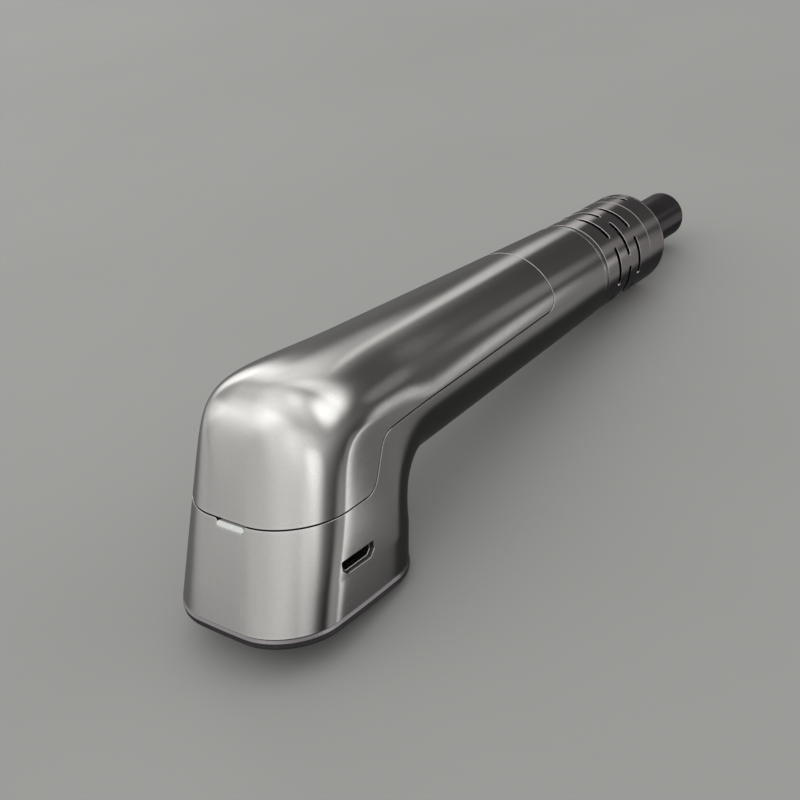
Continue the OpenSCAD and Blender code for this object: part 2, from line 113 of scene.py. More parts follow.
def make(name, verts, faces, normals, frame, body, finishes, edge=None, finish_index=None):
    """One mesh object from mm coordinates, with a normal for every face corner."""
    mesh = bpy.data.meshes.new(name)
    mesh.from_pydata([tuple(v) for v in frame.point(verts)], [],
                     [list(map(int, face)) for face in faces])
    mesh.polygons.foreach_set("use_smooth", [True] * len(mesh.polygons))
    normals = frame.direction(normals)
    normals = normals / np.maximum(np.linalg.norm(normals, axis=1, keepdims=True), 1e-9)
    mesh.normals_split_custom_set([tuple(v) for v in normals])
    if edge is not None:
        layer = mesh.attributes.new("edge", "FLOAT", "POINT")
        layer.data.foreach_set("value", np.asarray(edge, np.float32))
    for finish in finishes:
        mesh.materials.append(FINISHES[finish])
    if finish_index is not None:
        mesh.polygons.foreach_set("material_index", finish_index)
    mesh.update()
    piece = bpy.data.objects.new(name, mesh)
    bpy.context.scene.collection.objects.link(piece)
    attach(piece, body)
    return piece


def round_corner(before, corner, after, radius, steps):
    """Arc points and normals at a corner; a sharp corner has one point and no normal."""
    back = (before - corner) / np.linalg.norm(before - corner)
    ahead = (after - corner) / np.linalg.norm(after - corner)
    half = math.acos(float(np.clip(np.dot(back, ahead), -1, 1))) / 2
    if radius <= 0 or half > math.pi / 2 - 0.01:
        return [(corner, None)]
    reach = min(radius / math.tan(half), 0.49 * np.linalg.norm(before - corner),
                0.49 * np.linalg.norm(after - corner))
    radius = reach * math.tan(half)
    bisector = (back + ahead) / np.linalg.norm(back + ahead)
    centre = corner + bisector * (radius / math.sin(half))
    turn = np.sign(np.cross(corner - before, after - corner))
    start = math.atan2(*(corner + back * reach - centre)[::-1])
    end = math.atan2(*(corner + ahead * reach - centre)[::-1])
    sweep = (end - start + math.pi) % (2 * math.pi) - math.pi
    arc = []
    for k in range(steps + 1):
        angle = start + sweep * k / steps
        spoke = np.array([math.cos(angle), math.sin(angle)])
        arc.append((centre + radius * spoke, -turn * spoke))
    return arc


def fillet_path(points, closed=False, steps=5):
    """[(x, y, radius)] -> segments (start, end, start normal, end normal). Normals are to the
    left of travel and break at sharp corners."""
    corners = [np.array(p[:2], float) for p in points]
    count = len(corners)
    runs = []
    for i, point in enumerate(points):
        if not closed and i in (0, count - 1):
            runs.append([(corners[i], None)])
            continue
        radius = point[2] if len(point) > 2 else 0.0
        runs.append(round_corner(corners[i - 1], corners[i], corners[(i + 1) % count],
                                 radius, steps))
    segments = []
    for i, run in enumerate(runs):
        for (start, start_n), (end, end_n) in zip(run, run[1:]):
            segments.append((start, end, start_n, end_n))
        if closed or i < count - 1:
            start, end = run[-1][0], runs[(i + 1) % count][0][0]
            step = end - start
            length = np.linalg.norm(step)
            if length > 1e-7:
                normal = np.array([-step[1], step[0]]) / length
                segments.append((start, end, normal, normal))
    return segments


WELD_PER_MM = 2e4                   # vertices that round to the same place are one


def weld(verts, faces, normals):
    """Merges coincident vertices and drops the faces that collapse."""
    verts = np.array(verts)
    key = np.round(verts * WELD_PER_MM).astype(np.int64)
    _, first, merged = np.unique(key, axis=0, return_index=True, return_inverse=True)
    merged = merged.reshape(-1)
    corner_normals = iter(normals)
    out_faces, out_normals = [], []
    for face in faces:
        kept = {}
        for index in face:
            kept.setdefault(merged[index], next(corner_normals))
        if len(kept) > 2:
            out_faces.append(list(kept))
            out_normals.extend(kept.values())
    return verts[first], out_faces, out_normals


def ring_sweep(name, outline, profile, frame, body, finish, axis="z", closed=True,
               capped=False, steps=5):
    """Sweeps a profile [(offset, height, radius)] round an outline of (points, normals).
    The offset is along the outline's normals, the height along the axis."""
    points, outward = outline
    count = len(points)

    def ring(flat, height):
        x, y, height = flat[:, 0], flat[:, 1], np.full(count, height)
        return np.column_stack([x, y, height] if axis == "z" else [height, x, y])

    segments = fillet_path(profile, closed, steps)
    verts, faces, normals = [], [], []
    reverse = None
    for p0, p1, n0, n1 in segments:
        a = len(verts)
        b = a + count
        start, end = ring(points + outward * p0[0], p0[1]), ring(points + outward * p1[0], p1[1])
        start_n, end_n = ring(outward * n0[0], n0[1]), ring(outward * n1[0], n1[1])
        start_is_point = np.ptp(start, axis=0).max() < 1e-7
        end_is_point = np.ptp(end, axis=0).max() < 1e-7
        if reverse is None:
            side = end[1] - end[0] if start_is_point else start[1] - start[0]
            facing = np.cross(side, end[0] - start[0])
            reverse = not np.dot(facing, start_n[0] + end_n[0]) > 0
        verts.extend(start)
        verts.extend(end)
        for i in range(count):
            j = (i + 1) % count
            if start_is_point:
                face = [a + i, b + j, b + i]
                corner_n = [(start_n[i] + start_n[j]) / 2, end_n[j], end_n[i]]
            elif end_is_point:
                face = [a + i, a + j, b + i]
                corner_n = [start_n[i], start_n[j], (end_n[i] + end_n[j]) / 2]
            else:
                face = [a + i, a + j, b + j, b + i]
                corner_n = [start_n[i], start_n[j], end_n[j], end_n[i]]
            if reverse:
                face, corner_n = face[::-1], corner_n[::-1]
            faces.append(face)
            normals.extend(corner_n)
    if capped:                      # closes both ends of a profile swept along z
        middle = np.mean([segment[0][1] for segment in segments])
        for p in (segments[0][0], segments[-1][1]):
            rim = ring(points + outward * p[0], p[1])
            face = list(range(len(verts), len(verts) + count))
            verts.extend(rim)
            up = np.array([0, 0, 1.0 if p[1] >= middle else -1.0])
            if np.dot(np.cross(rim[1] - rim[0], rim[2] - rim[1]), up) < 0:
                face = face[::-1]
            faces.append(face)
            normals.extend([up] * count)
    return make(name, *weld(verts, faces, normals), frame, body, [finish])


def circle(count):
    """Outline of zero size, so that profile offsets are radii."""
    angle = np.arange(count) * 2 * math.pi / count
    return np.zeros((count, 2)), np.column_stack([np.cos(angle), np.sin(angle)])


def lathe(name, profile, body, finish, count=128, closed=True, steps=4):
    """Turns a profile [(radius, station, corner radius)] about the arm's axis."""
    return ring_sweep(name, circle(count), profile, ARM, body, finish, axis="x",
                      closed=closed, steps=steps)


def round_rect(length, width, radius, x=0.0, y=0.0, steps=10, side=6):
    """Outline of a rounded rectangle with `steps` per corner and `side` per edge."""
    signs = [(1, 1), (-1, 1), (-1, -1), (1, -1)]
    centres = [np.array([x + sx * (length / 2 - radius), y + sy * (width / 2 - radius)])
               for sx, sy in signs]
    points, normals = [], []
    for q, centre in enumerate(centres):
        for k in range(steps + 1):
            angle = math.radians(90 * q + 90 * k / steps)
            points.append(centre)
            normals.append([math.cos(angle), math.sin(angle)])
        angle = math.radians(90 * q + 90)
        for k in range(1, side):
            points.append(centre + (centres[(q + 1) % 4] - centre) * k / side)
            normals.append([math.cos(angle), math.sin(angle)])
    return np.array(points) + radius * np.array(normals), np.array(normals)


def polygon_outline(corners, radius, steps=5):
    """Outline of a convex polygon as the centres of its corner arcs and the normals."""
    corners = np.array(corners, float)
    if np.sum(np.cross(corners, np.roll(corners, -1, axis=0))) < 0:
        corners = corners[::-1]
    sides = np.roll(corners, -1, axis=0) - corners
    side_n = (np.column_stack([sides[:, 1], -sides[:, 0]])
              / np.linalg.norm(sides, axis=1, keepdims=True))
    points, normals = [], []
    for i, corner in enumerate(corners):
        before, after = side_n[i - 1], side_n[i]
        centre = np.linalg.solve(np.array([before, after]),
                                 np.array([before @ corner - radius, after @ corner - radius]))
        start = math.atan2(before[1], before[0])
        sweep = (math.atan2(after[1], after[0]) - start) % (2 * math.pi)
        for k in range(steps + 1):
            angle = start + sweep * k / steps
            points.append(centre)
            normals.append([math.cos(angle), math.sin(angle)])
    return np.array(points), np.array(normals)


# ---------------------------------------------------------------- body skin
def arm_radius(station):
    return ARM_R0 - TAPER * station


def outer_x(z):
    """The foot's -X face, which runs on into the outside of the bend."""
    return -FOOT_LENGTH / 2 + OUTER_LEAN * (z - PAD_T)


def inner_x(z):
    """The foot's +X face, which runs on into the crook."""
    return FOOT_LENGTH / 2 + INNER_LEAN * (z - PAD_T)


def half_width(z):
    return FOOT_WIDTH / 2 - SIDE_LEAN * (z - PAD_T)


def corner_radius(z):
    return FOOT_CORNER + CORNER_GROWTH * (z - PAD_T)


def smooth(u):
    return u * u * (3 - 2 * u)


def hermite(u):
    """Blend from start to end, then the weights of the start and end slopes."""
    return smooth(u), u * (1 - u) ** 2, -u * u * (1 - u)


# the pivot seen from the arm, and the bend's radii where it starts (0) and ends (1)
PIVOT_S = PIVOT_X * math.cos(RISE) + (PIVOT_Z - ARM_Z) * math.sin(RISE)
PIVOT_N = -PIVOT_X * math.sin(RISE) + (PIVOT_Z - ARM_Z) * math.cos(RISE)
INNER_R0 = PIVOT_X - inner_x(PIVOT_Z)
INNER_R1 = -arm_radius(PIVOT_S) - PIVOT_N
OUTER_R1 = arm_radius(PIVOT_S) - PIVOT_N
BLEND_POWER = 9.5                   # how tightly the bend's outside turns from foot to arm
ROUND_BY = 0.88                     # part of the bend by which the sides are round
ARM_CORNER = 0.985                  # corner radius of the arm's section as a part of its radius


def bend_section(v):
    t = np.clip((v - 10.0) / 10.0, 0, 1) * BEND
    blend, slope0, slope1 = hermite(t / BEND)
    inner = (INNER_R0 + (INNER_R1 - INNER_R0) * blend
             + slope0 * (-INNER_LEAN * INNER_R0 * BEND) + slope1 * (TAPER * INNER_R1 * BEND))
    foot_line = (PIVOT_X - outer_x(PIVOT_Z)) / (np.cos(t) + OUTER_LEAN * np.sin(t))
    k = t - BEND
    arm_line = np.where(t < math.radians(8), 1e6,
                        OUTER_R1 / np.maximum(np.cos(k) - TAPER * np.sin(-k), 1e-3))
    outer = (foot_line ** -BLEND_POWER + arm_line ** -BLEND_POWER) ** (-1 / BLEND_POWER)
    outer = np.where(t >= BEND - 1e-4, OUTER_R1, outer)
    middle = (inner + outer) / 2
    dx, dz = -np.cos(t), np.sin(t)
    width0, width1 = half_width(PIVOT_Z), arm_radius(PIVOT_S)
    middle0, middle1 = (INNER_R0 + (PIVOT_X - outer_x(PIVOT_Z))) / 2, (INNER_R1 + OUTER_R1) / 2
    round_t = ROUND_BY * BEND
    blend, slope0, slope1 = hermite(np.minimum(t / round_t, 1))
    tail = TAPER * middle1 * (BEND - np.maximum(t, round_t))
    width = (width0 + (width1 + tail - width0) * blend
             + slope0 * (-SIDE_LEAN * middle0 * round_t) + slope1 * (-TAPER * middle1 * round_t))
    corner0, corner1 = corner_radius(PIVOT_Z), ARM_CORNER * arm_radius(PIVOT_S)
    corner = (corner0 + (corner1 + ARM_CORNER * tail - corner0) * blend
              + slope0 * (CORNER_GROWTH * middle0 * round_t))
    depth = (outer - inner) / 2
    return [PIVOT_X + middle * dx, PIVOT_Z + middle * dz, dx, dz, depth, width,
            np.minimum(corner, 0.99 * np.minimum(width, depth))]


def section(v):
    """Section at v: 0..10 foot, 10..20 bend, 20.. arm (5 mm per unit), as centre x and z,
    the direction x and z to its outer side, half depth, half width and corner radius."""
    v = np.asarray(v, float)
    z = np.minimum(PAD_T - 1.2 + (PIVOT_Z - PAD_T + 1.2) * v / 10.0, PIVOT_Z)
    foot = [(outer_x(z) + inner_x(z)) / 2, z, -1 + 0 * v, 0 * v,
            (inner_x(z) - outer_x(z)) / 2, half_width(z), corner_radius(z)]
    s = PIVOT_S + np.maximum(v - 20.0, 0) * 5.0
    radius = arm_radius(s)
    arm = [s * math.cos(RISE), ARM_Z + s * math.sin(RISE), -math.sin(RISE) + 0 * v,
           math.cos(RISE) + 0 * v, radius, radius, ARM_CORNER * radius]
    return [np.where(v < 10, f, np.where(v < 20, g, h))
            for f, g, h in zip(foot, bend_section(v), arm)]


def crowned(x, y, half_x, half_y, amount):
    """Bulges the flats of a rounded rectangle a little."""
    x_part, y_part = (x / half_x) ** 2, (y / half_y) ** 2
    return x * (1 - 0.8 * amount * y_part), y * (1 - amount * x_part)


def body_skin(v, w):
    """Point on the outer skin; w in 0..1 runs round the section by arc length, from the
    middle of its outer side."""
    cx, cz, dx, dz, depth, width, r = section(v)
    w = np.mod(w, 1.0)
    half_turn = np.where(w > 0.5, 1.0 - w, w)
    side = np.where(w > 0.5, 1.0, -1.0)
    flat_a, flat_b, arc = depth - r, width - r, math.pi * r / 2
    half_perimeter = 2 * flat_a + 2 * flat_b + 2 * arc
    d = np.minimum(half_turn * 2 * half_perimeter, half_perimeter)
    # distances where the half outline passes from flat to arc and back
    d1, d2, d3, d4 = (flat_b, flat_b + arc, flat_b + arc + 2 * flat_a,
                      flat_b + 2 * arc + 2 * flat_a)
    t1 = (d - d1) / r
    t3 = (d - d3) / r
    spans = [d <= d1, d <= d2, d <= d3, d <= d4]
    a = np.select(spans, [depth, flat_a + r * np.cos(t1), flat_a - (d - d2),
                          -flat_a - r * np.sin(t3)], -depth)
    b = np.select(spans, [d, flat_b + r * np.sin(t1), width, flat_b + r * np.cos(t3)],
                  flat_b - (d - d4))
    # the crown fades out on the round arm
    fade = 1.0 - smooth(np.clip((v - 10.0) / 10.0, 0, 1))
    a, b = crowned(a, b, depth, width, CROWN * fade)
    return np.stack([cx + a * dx, side * b, cz + a * dz], axis=-1)


def skin_normals(skin, v, w, low, high, dv=0.05, dw=1e-3):
    """Normals by differences, with v held between low and high."""
    v0, v1 = np.clip(v - dv, low, high), np.clip(v + dv, low, high)
    along = skin(v1, w) - skin(v0, w)
    around = skin(v, w + dw) - skin(v, w - dw)
    normal = np.cross(around, along)
    return normal / np.maximum(np.linalg.norm(normal, axis=-1, keepdims=True), 1e-12)


SOFT_RUN = 0.011                    # spacing in w of the averaged normals


def soft_normals(skin, v, w, low, high):
    """Normals averaged over a short run, so the flats pass softly into the corners."""
    def normals(v, w):
        return skin_normals(skin, v, w, low, high, dv=1e-3, dw=1e-4)

    total = 0
    for k, weight in ((-2, 1.0), (-1, 2.0), (0, 3.0), (1, 2.0), (2, 1.0)):
        total = total + weight * normals(v, w + k * SOFT_RUN)
    # the run is wider along the bend
    window = np.clip((v - 9.3) / 1.2, 0, 1) * np.clip((22.2 - v) / 1.5, 0, 1)
    spread = 0.3 + 0.6 * np.clip((v - 15.0) / 2.0, 0, 1)
    for k in (-1.0, -0.5, 0.5, 1.0):
        total = total + (3.0 * window)[..., None] * normals(v + k * spread, w)
    return total / np.linalg.norm(total, axis=-1, keepdims=True)


# ---------------------------------------------------------------- clipped shells
def clip_grid(vs, ws, excess):
    """Cuts the closed grid of (v, w) where excess(v, w) passes 0. Returns the v and w of the
    vertices, the faces, and the border edges."""
    V, W = np.meshgrid(vs, ws, indexing="ij")
    inside = excess(V, W) <= 0
    after = (np.arange(len(ws)) + 1) % len(ws)
    W_after = np.broadcast_to(np.append(ws[1:], ws[0] + 1.0), inside.shape)

    def number(mask, start):
        ids = -np.ones(mask.shape, int)
        ids[mask] = start + np.arange(mask.sum())
        return ids

    def crossing(va, wa, vb, wb, a_inside):
        low, high = np.zeros(len(va)), np.ones(len(va))
        for _ in range(16):
            mid = (low + high) / 2
            same = (excess(va + (vb - va) * mid, wa + (wb - wa) * mid) <= 0) == a_inside
            low = np.where(same, mid, low)
            high = np.where(same, high, mid)
        mid = np.clip((low + high) / 2, 0.02, 0.98)
        return va + (vb - va) * mid, wa + (wb - wa) * mid

    w_cut = inside != inside[:, after]
    v_cut = inside[:-1] != inside[1:]
    grid_id = number(inside, 0)
    w_id = number(w_cut, inside.sum())
    v_id = number(v_cut, inside.sum() + w_cut.sum())
    w_points = crossing(V[w_cut], W[w_cut], V[w_cut], W_after[w_cut], inside[w_cut])
    v_points = crossing(V[:-1][v_cut], W[:-1][v_cut], V[1:][v_cut], W[1:][v_cut],
                        inside[:-1][v_cut])
    v = np.concatenate([V[inside], w_points[0], v_points[0]])
    w = np.concatenate([W[inside], w_points[1], v_points[1]])

    cells = np.stack([inside[:-1], inside[1:], inside[:-1][:, after], inside[1:][:, after]])
    full = cells.all(axis=0)
    j, i = np.nonzero(full)
    k = after[i]
    faces = [list(quad) for quad in np.column_stack(
        [grid_id[j, i], grid_id[j, k], grid_id[j + 1, k], grid_id[j + 1, i]])]
    border = []
    for j, i in zip(*np.nonzero(cells.any(axis=0) & ~full)):
        k = after[i]
        corners = [(j, i), (j, k), (j + 1, k), (j + 1, i)]
        cuts = [w_id[j, i], v_id[j, k], w_id[j + 1, i], v_id[j, i]]
        polygon, kinds = [], []     # kinds: a grid corner, or a cut leaving or entering
        for corner, cut in zip(corners, cuts):
            if inside[corner]:
                polygon.append(grid_id[corner])
                kinds.append("corner")
            if cut >= 0:
                polygon.append(cut)
                kinds.append("leave" if inside[corner] else "enter")
        if len(polygon) > 2:
            faces.append(polygon)
            for q in range(len(polygon)):
                r = (q + 1) % len(polygon)
                if kinds[q] == "leave" and kinds[r] == "enter":
                    border.append((polygon[q], polygon[r]))
    return v, w, faces, border


def opening_directions(field, points, normals, border):
    """Unit directions in the skin, out of the kept side, averaged a little along the border."""
    step = 0.02
    gradient = np.stack([(field(points + step * axis) - field(points - step * axis)) / (2 * step)
                         for axis in np.eye(3)], axis=-1)
    out = gradient - (gradient * normals).sum(-1, keepdims=True) * normals
    out /= np.maximum(np.linalg.norm(out, axis=-1, keepdims=True), 1e-9)
    neighbours = [[] for _ in points]
    for x, y in border:
        neighbours[x].append(y)
        neighbours[y].append(x)
    mean = out.copy()
    for q, near in enumerate(neighbours):
        mean[q] = 2 * out[q] + sum(out[x] for x in near)
    return mean / np.maximum(np.linalg.norm(mean, axis=-1, keepdims=True), 1e-9)


BEVEL_STEPS = 3


def clip_skin(name, skin, vs, ws, field, bevel, wall, frame, body, finishes, edge_width,
              normals_at=soft_normals, adjust=None):
    """A closed-ring skin(v, w) kept where field <= 0, with a rounded edge round every opening,
    a rim, and an inner face one wall inside in the last finish. The "edge" attribute rises
    to 1 over edge_width towards the openings."""
    v, w, faces, border = clip_grid(vs, ws, lambda v, w: field(skin(v, w)) + bevel)
    outer = skin(v, w)
    normals = normals_at(skin, v, w, vs[0], vs[-1])
    a, b, c = faces[0][:3]
    if np.dot(np.cross(outer[b] - outer[a], outer[c] - outer[b]), normals[a]) < 0:
        faces = [face[::-1] for face in faces]
        border = [(y, x) for x, y in border]

    rim_ids = np.array(sorted(set(x for pair in border for x in pair)))
    place = {x: q for q, x in enumerate(rim_ids)}
    border = [(place[x], place[y]) for x, y in border]
    rim, rim_n = outer[rim_ids], normals[rim_ids]
    out = opening_directions(field, rim, rim_n, border)

    rings, ring_normals = [], [rim_n]
    for q in range(1, BEVEL_STEPS + 1):
        t = math.pi / 2 * q / BEVEL_STEPS
        rings.append(rim + bevel * math.sin(t) * out - bevel * (1 - math.cos(t)) * rim_n)
        ring_normals.append(math.cos(t) * rim_n + math.sin(t) * out)
    rings.append(rim + bevel * out - (wall - min(bevel, 0.15)) * rim_n)
    count, rim_count = len(outer), len(rim)
    ring_ids = [2 * count + q * rim_count + np.arange(rim_count) for q in range(len(rings))]
    ring_ids = [rim_ids] + ring_ids + [rim_ids + count]
    # normals at the two sides of each strip: bevel strips, the rim, the inner chamfer
    strip_normals = list(zip(ring_normals, ring_normals[1:]))
    strip_normals += [(out, out), (out - rim_n, out - rim_n)]

    strips, strip_corners = [], []
    for near, far, (near_n, far_n) in zip(ring_ids, ring_ids[1:], strip_normals):
        for x, y in border:
            strips.append([near[y], near[x], far[x], far[y]])
            strip_corners.extend([near_n[y], near_n[x], far_n[x], far_n[y]])
    reverse = [face[::-1] for face in faces]
    inner_faces = [[x + count for x in face] for face in reverse]
    corner_normals = np.concatenate([normals[np.concatenate(faces)],
                                     -normals[np.concatenate(reverse)],
                                     np.array(strip_corners)])
    verts = np.concatenate([outer, outer - wall * normals] + rings)
    if adjust:
        verts = adjust(verts)
    edge = np.zeros(len(verts))
    edge[:count] = np.clip(1 + (field(outer) + bevel) / edge_width, 0, 1)
    edge[2 * count:] = 1.0
    # the rim wall and inner chamfer take the last finish too; for the body shells that darker
    # steel is painted shade in the seam gap
    inside = len(finishes) - 1
    finish_index = ([0] * len(faces) + [inside] * len(faces)
                    + [0] * (BEVEL_STEPS * len(border)) + [inside] * (2 * len(border)))
    return make(name, verts, faces + inner_faces + strips, corner_normals, frame, body,
                finishes, edge=edge, finish_index=finish_index)


# ---------------------------------------------------------------- openings (mm, rest frame)
# Every field is a distance: negative inside an opening, or where a shell is kept.
FAR = 9.0                           # stands for "not near this opening"
PORT_X, PORT_Z = -1.3, 10.3
# x, z of the port's opening about its centre
PORT = np.array([[-4.05, 1.3], [-4.05, -0.2], [-3.0, -1.3],
                 [3.0, -1.3], [4.05, -0.2], [4.05, 1.3]])
PORT_CORNER = 0.32
NOTCH_Y, NOTCH_Z = -0.75, 22.0      # notch for the light bar in the -X side of the bend
NOTCH_HALF_Y, NOTCH_HALF_Z, NOTCH_CORNER = 3.0, 4.0, 0.3
LENS_TOP = 18.98
TRIGGER_S, TRIGGER_BORE = 44.0, 4.32
SEAM_GAP = 0.24
# the line between housing and cover: x, z, corner radius; it ends by rising square to the arm
SEAM_Z, SEAM_END_Z = 19.2, 29.95
SEAM_END_X = 70.7 * math.cos(RISE) - 3.2 * math.sin(RISE)
SEAM = fillet_path([(-60, SEAM_Z), (5.2, SEAM_Z, 4), (9.8, 27.7, 4),
                    (SEAM_END_X, SEAM_END_Z, 3.6),
                    (SEAM_END_X - 60 * math.sin(RISE), SEAM_END_Z + 60 * math.cos(RISE))],
                   steps=12)
SEAM_STARTS = np.array([segment[0] for segment in SEAM])
SEAM_ENDS = np.array([segment[1] for segment in SEAM])
CHUNK = 20000                       # points handled at once, to spare memory


def seam_field(P):
    """Distance from the seam line, positive on its upper side."""
    q = P.reshape(-1, 3)[:, [0, 2]]
    run = SEAM_ENDS - SEAM_STARTS
    squared = (run * run).sum(1)
    out = np.empty(len(q))
    for start in range(0, len(q), CHUNK):
        p = q[start:start + CHUNK]
        rel = p[:, None, :] - SEAM_STARTS[None]
        t = np.clip((rel * run[None]).sum(-1) / squared[None], 0, 1)
        gap = rel - t[..., None] * run[None]
        dist = np.sqrt((gap * gap).sum(-1))
        k = dist.argmin(1)
        row = np.arange(len(p))
        side = run[k, 0] * rel[row, k, 1] - run[k, 1] * rel[row, k, 0]
        out[start:start + CHUNK] = np.where(side >= 0, 1, -1) * dist[row, k]
    return out.reshape(P.shape[:-1])


def on_arm(P):
    """Station along the arm and height from its axis."""
    x, z = P[..., 0], P[..., 2] - ARM_Z
    return x * math.cos(RISE) + z * math.sin(RISE), -x * math.sin(RISE) + z * math.cos(RISE)


def polygon_distance(q, polygon, radius):
    """Signed distance to a convex counter-clockwise polygon with rounded corners."""
    sides = np.roll(polygon, -1, axis=0) - polygon
    side_n = (np.column_stack([sides[:, 1], -sides[:, 0]])
              / np.linalg.norm(sides, axis=1, keepdims=True))
    offsets = (side_n * polygon).sum(1) - radius
    inside = (q @ side_n.T - offsets[None]).max(1) <= 0
    inset = np.array([np.linalg.solve(np.array([side_n[i - 1], side_n[i]]),
                                      np.array([offsets[i - 1], offsets[i]]))
                      for i in range(len(polygon))])
    run = np.roll(inset, -1, axis=0) - inset
    rel = q[:, None] - inset[None]
    t = np.clip((rel * run[None]).sum(-1) / (run * run).sum(-1)[None], 0, 1)
    dist = np.sqrt(((rel - t[..., None] * run[None]) ** 2).sum(-1)).min(1)
    return np.where(inside, -dist, dist) - radius


def port_field(P):
    p = P.reshape(-1, 3)
    out = np.full(len(p), FAR)
    near = (p[:, 1] < -8) & (abs(p[:, 0] - PORT_X) < 7) & (abs(p[:, 2] - PORT_Z) < 4)
    if near.any():
        q = np.column_stack([p[near, 0] - PORT_X, p[near, 2] - PORT_Z])
        out[near] = polygon_distance(q, PORT, PORT_CORNER)
    return out.reshape(P.shape[:-1])


def notch_field(P, grow=0.0):
    a = abs(P[..., 1] - NOTCH_Y) - (NOTCH_HALF_Y + grow) + NOTCH_CORNER
    b = abs(P[..., 2] - NOTCH_Z) - (NOTCH_HALF_Z + grow) + NOTCH_CORNER
    dist = (np.minimum(np.maximum(a, b), 0) + np.hypot(np.maximum(a, 0), np.maximum(b, 0))
            - NOTCH_CORNER)
    return np.where(P[..., 0] < -9, dist, FAR)


def trigger_field(P):
    s, n = on_arm(P)
    return np.where(n < -3, np.hypot(s - TRIGGER_S, P[..., 1]) - TRIGGER_BORE, FAR)


def straight_bore(P):
    """Runs the trigger's opening straight through the wall, not along the skin's normals."""
    s, n = on_arm(P)
    weight = np.clip((7.5 - np.hypot(s - TRIGGER_S, P[..., 1])) / 2.9, 0, 1) * (n < -3)
    stretch = np.maximum(arm_radius(s) / np.maximum(np.hypot(n, P[..., 1]), 1), 1) - 1
    out = P.copy()
    out[..., 1] *= 1 + weight * stretch
    return out


def housing_field(P):
    s, _ = on_arm(P)
    return np.maximum.reduce([seam_field(P), -port_field(P), -notch_field(P), -trigger_field(P),
                              PAD_T + 0.04 - P[..., 2], s - (END_S - 0.03)])


def cover_field(P):
    return -seam_field(P) + SEAM_GAP


def lens_field(P):
    return np.maximum(notch_field(P, grow=-0.03), P[..., 2] - LENS_TOP)


# ---------------------------------------------------------------- shader building
class Nodes:
    """Adds nodes to a tree. Inputs take a number, a colour or another node's output."""

    def __init__(self, tree):
        self.tree = tree

    def feed(self, socket, value):
        if isinstance(value, bpy.types.NodeSocket):
            self.tree.links.new(value, socket)
        elif value is not None:
            socket.default_value = value

    def node(self, kind, *inputs, **values):
        node = self.tree.nodes.new("ShaderNode" + kind)
        for key, value in values.items():
            if key.replace("_", " ") in node.inputs:
                self.feed(node.inputs[key.replace("_", " ")], value)
            else:
                setattr(node, key, value)
        for socket, value in zip(node.inputs, inputs):
            self.feed(socket, value)
        return node

    def math(self, operation, *values, clamp=False):
        return self.node("Math", *values, operation=operation, use_clamp=clamp).outputs[0]

    def scaled(self, value, by):
        return self.math("MULTIPLY", value, by)


class Material(Nodes):
    def __init__(self, name):
        material = bpy.data.materials.new(name)
        material.use_nodes = True
        super().__init__(material.node_tree)
        FINISHES[name] = material

    def set(self, **values):
        shader = self.tree.nodes["Principled BSDF"]
        for key, value in values.items():
            self.feed(shader.inputs[key.replace("_", " ")], value)

    def coords(self, stretch=(1, 1, 1), turn=(0, 0, 0)):
        source = self.node("TexCoord").outputs["Object"]
        return self.node("Mapping", Vector=source, Scale=stretch, Rotation=turn).outputs["Vector"]

    def noise(self, scale, detail=3.0, rough=0.5, distort=0.0, **coords):
        return self.node("TexNoise", Vector=self.coords(**coords), Scale=scale, Detail=detail,
                         Roughness=rough, Distortion=distort).outputs["Fac"]

    def remap(self, value, source=(0.3, 0.7), to=(0, 1)):
        return self.node("MapRange", Value=value, From_Min=source[0], From_Max=source[1],
                         To_Min=to[0], To_Max=to[1]).outputs["Result"]

    def mix(self, factor, first, second):
        node = self.node("Mix", data_type="RGBA")
        for index, value in ((0, factor), (6, first), (7, second)):
            if isinstance(value, tuple):
                value = (*value, 1)
            self.feed(node.inputs[index], value)
        return node.outputs[2]

    def bump(self, height, strength, distance, under=None):
        return self.node("Bump", Strength=strength, Distance=distance, Height=height,
                         Normal=under).outputs["Normal"]


ALONG_ARM = (0, TILT, 0)            # turns a texture's X along the handpiece


def metal(name, base, dark, rough, spread, grain_scale, stretch, bump, along_arm, worn_edges):
    """Satin metal: long fine grain, slow colour drift, faint smudges, polished edges."""
    mat = Material(name)
    grain = mat.noise(scale=grain_scale, detail=4, rough=0.6, stretch=stretch,
                      turn=ALONG_ARM if along_arm else (0, 0, 0))
    fine = mat.noise(scale=5200, rough=0.6)
    drift = mat.noise(scale=38, rough=0.55, distort=0.3)
    smudge = mat.noise(scale=95, detail=5, rough=0.62, distort=0.8, stretch=(1, 1.6, 1))
    smudge = mat.remap(smudge, source=(0.52, 0.7))
    colour = mat.mix(mat.remap(drift, to=(0, 0.45)), base, dark)
    colour = mat.mix(mat.scaled(mat.remap(grain), by=0.22), colour, dark)
    colour = mat.mix(mat.scaled(mat.remap(fine), by=0.30), colour,
                     tuple(0.78 * channel for channel in dark))
    roughness = mat.math("ADD", mat.remap(grain, source=(0.25, 0.75),
                                          to=(rough - spread, rough + spread)),
                         mat.scaled(smudge, by=spread * 0.4))
    if worn_edges:
        edge = mat.node("Attribute", attribute_name="edge").outputs["Fac"]
        edge = mat.math("MULTIPLY", edge, mat.remap(drift, to=(0.55, 1.0)))
        polished = (min(base[0] * 1.25, 0.95),) * 3
        colour = mat.mix(mat.scaled(edge, by=0.35), colour, polished)
        roughness = mat.math("SUBTRACT", roughness, mat.scaled(edge, by=rough * 0.2))
    under = mat.bump(grain, strength=bump, distance=0.00002)
    mat.set(Metallic=1.0, Base_Color=colour, Roughness=roughness,
            Normal=mat.bump(fine, strength=bump * 0.5, distance=0.00001, under=under))


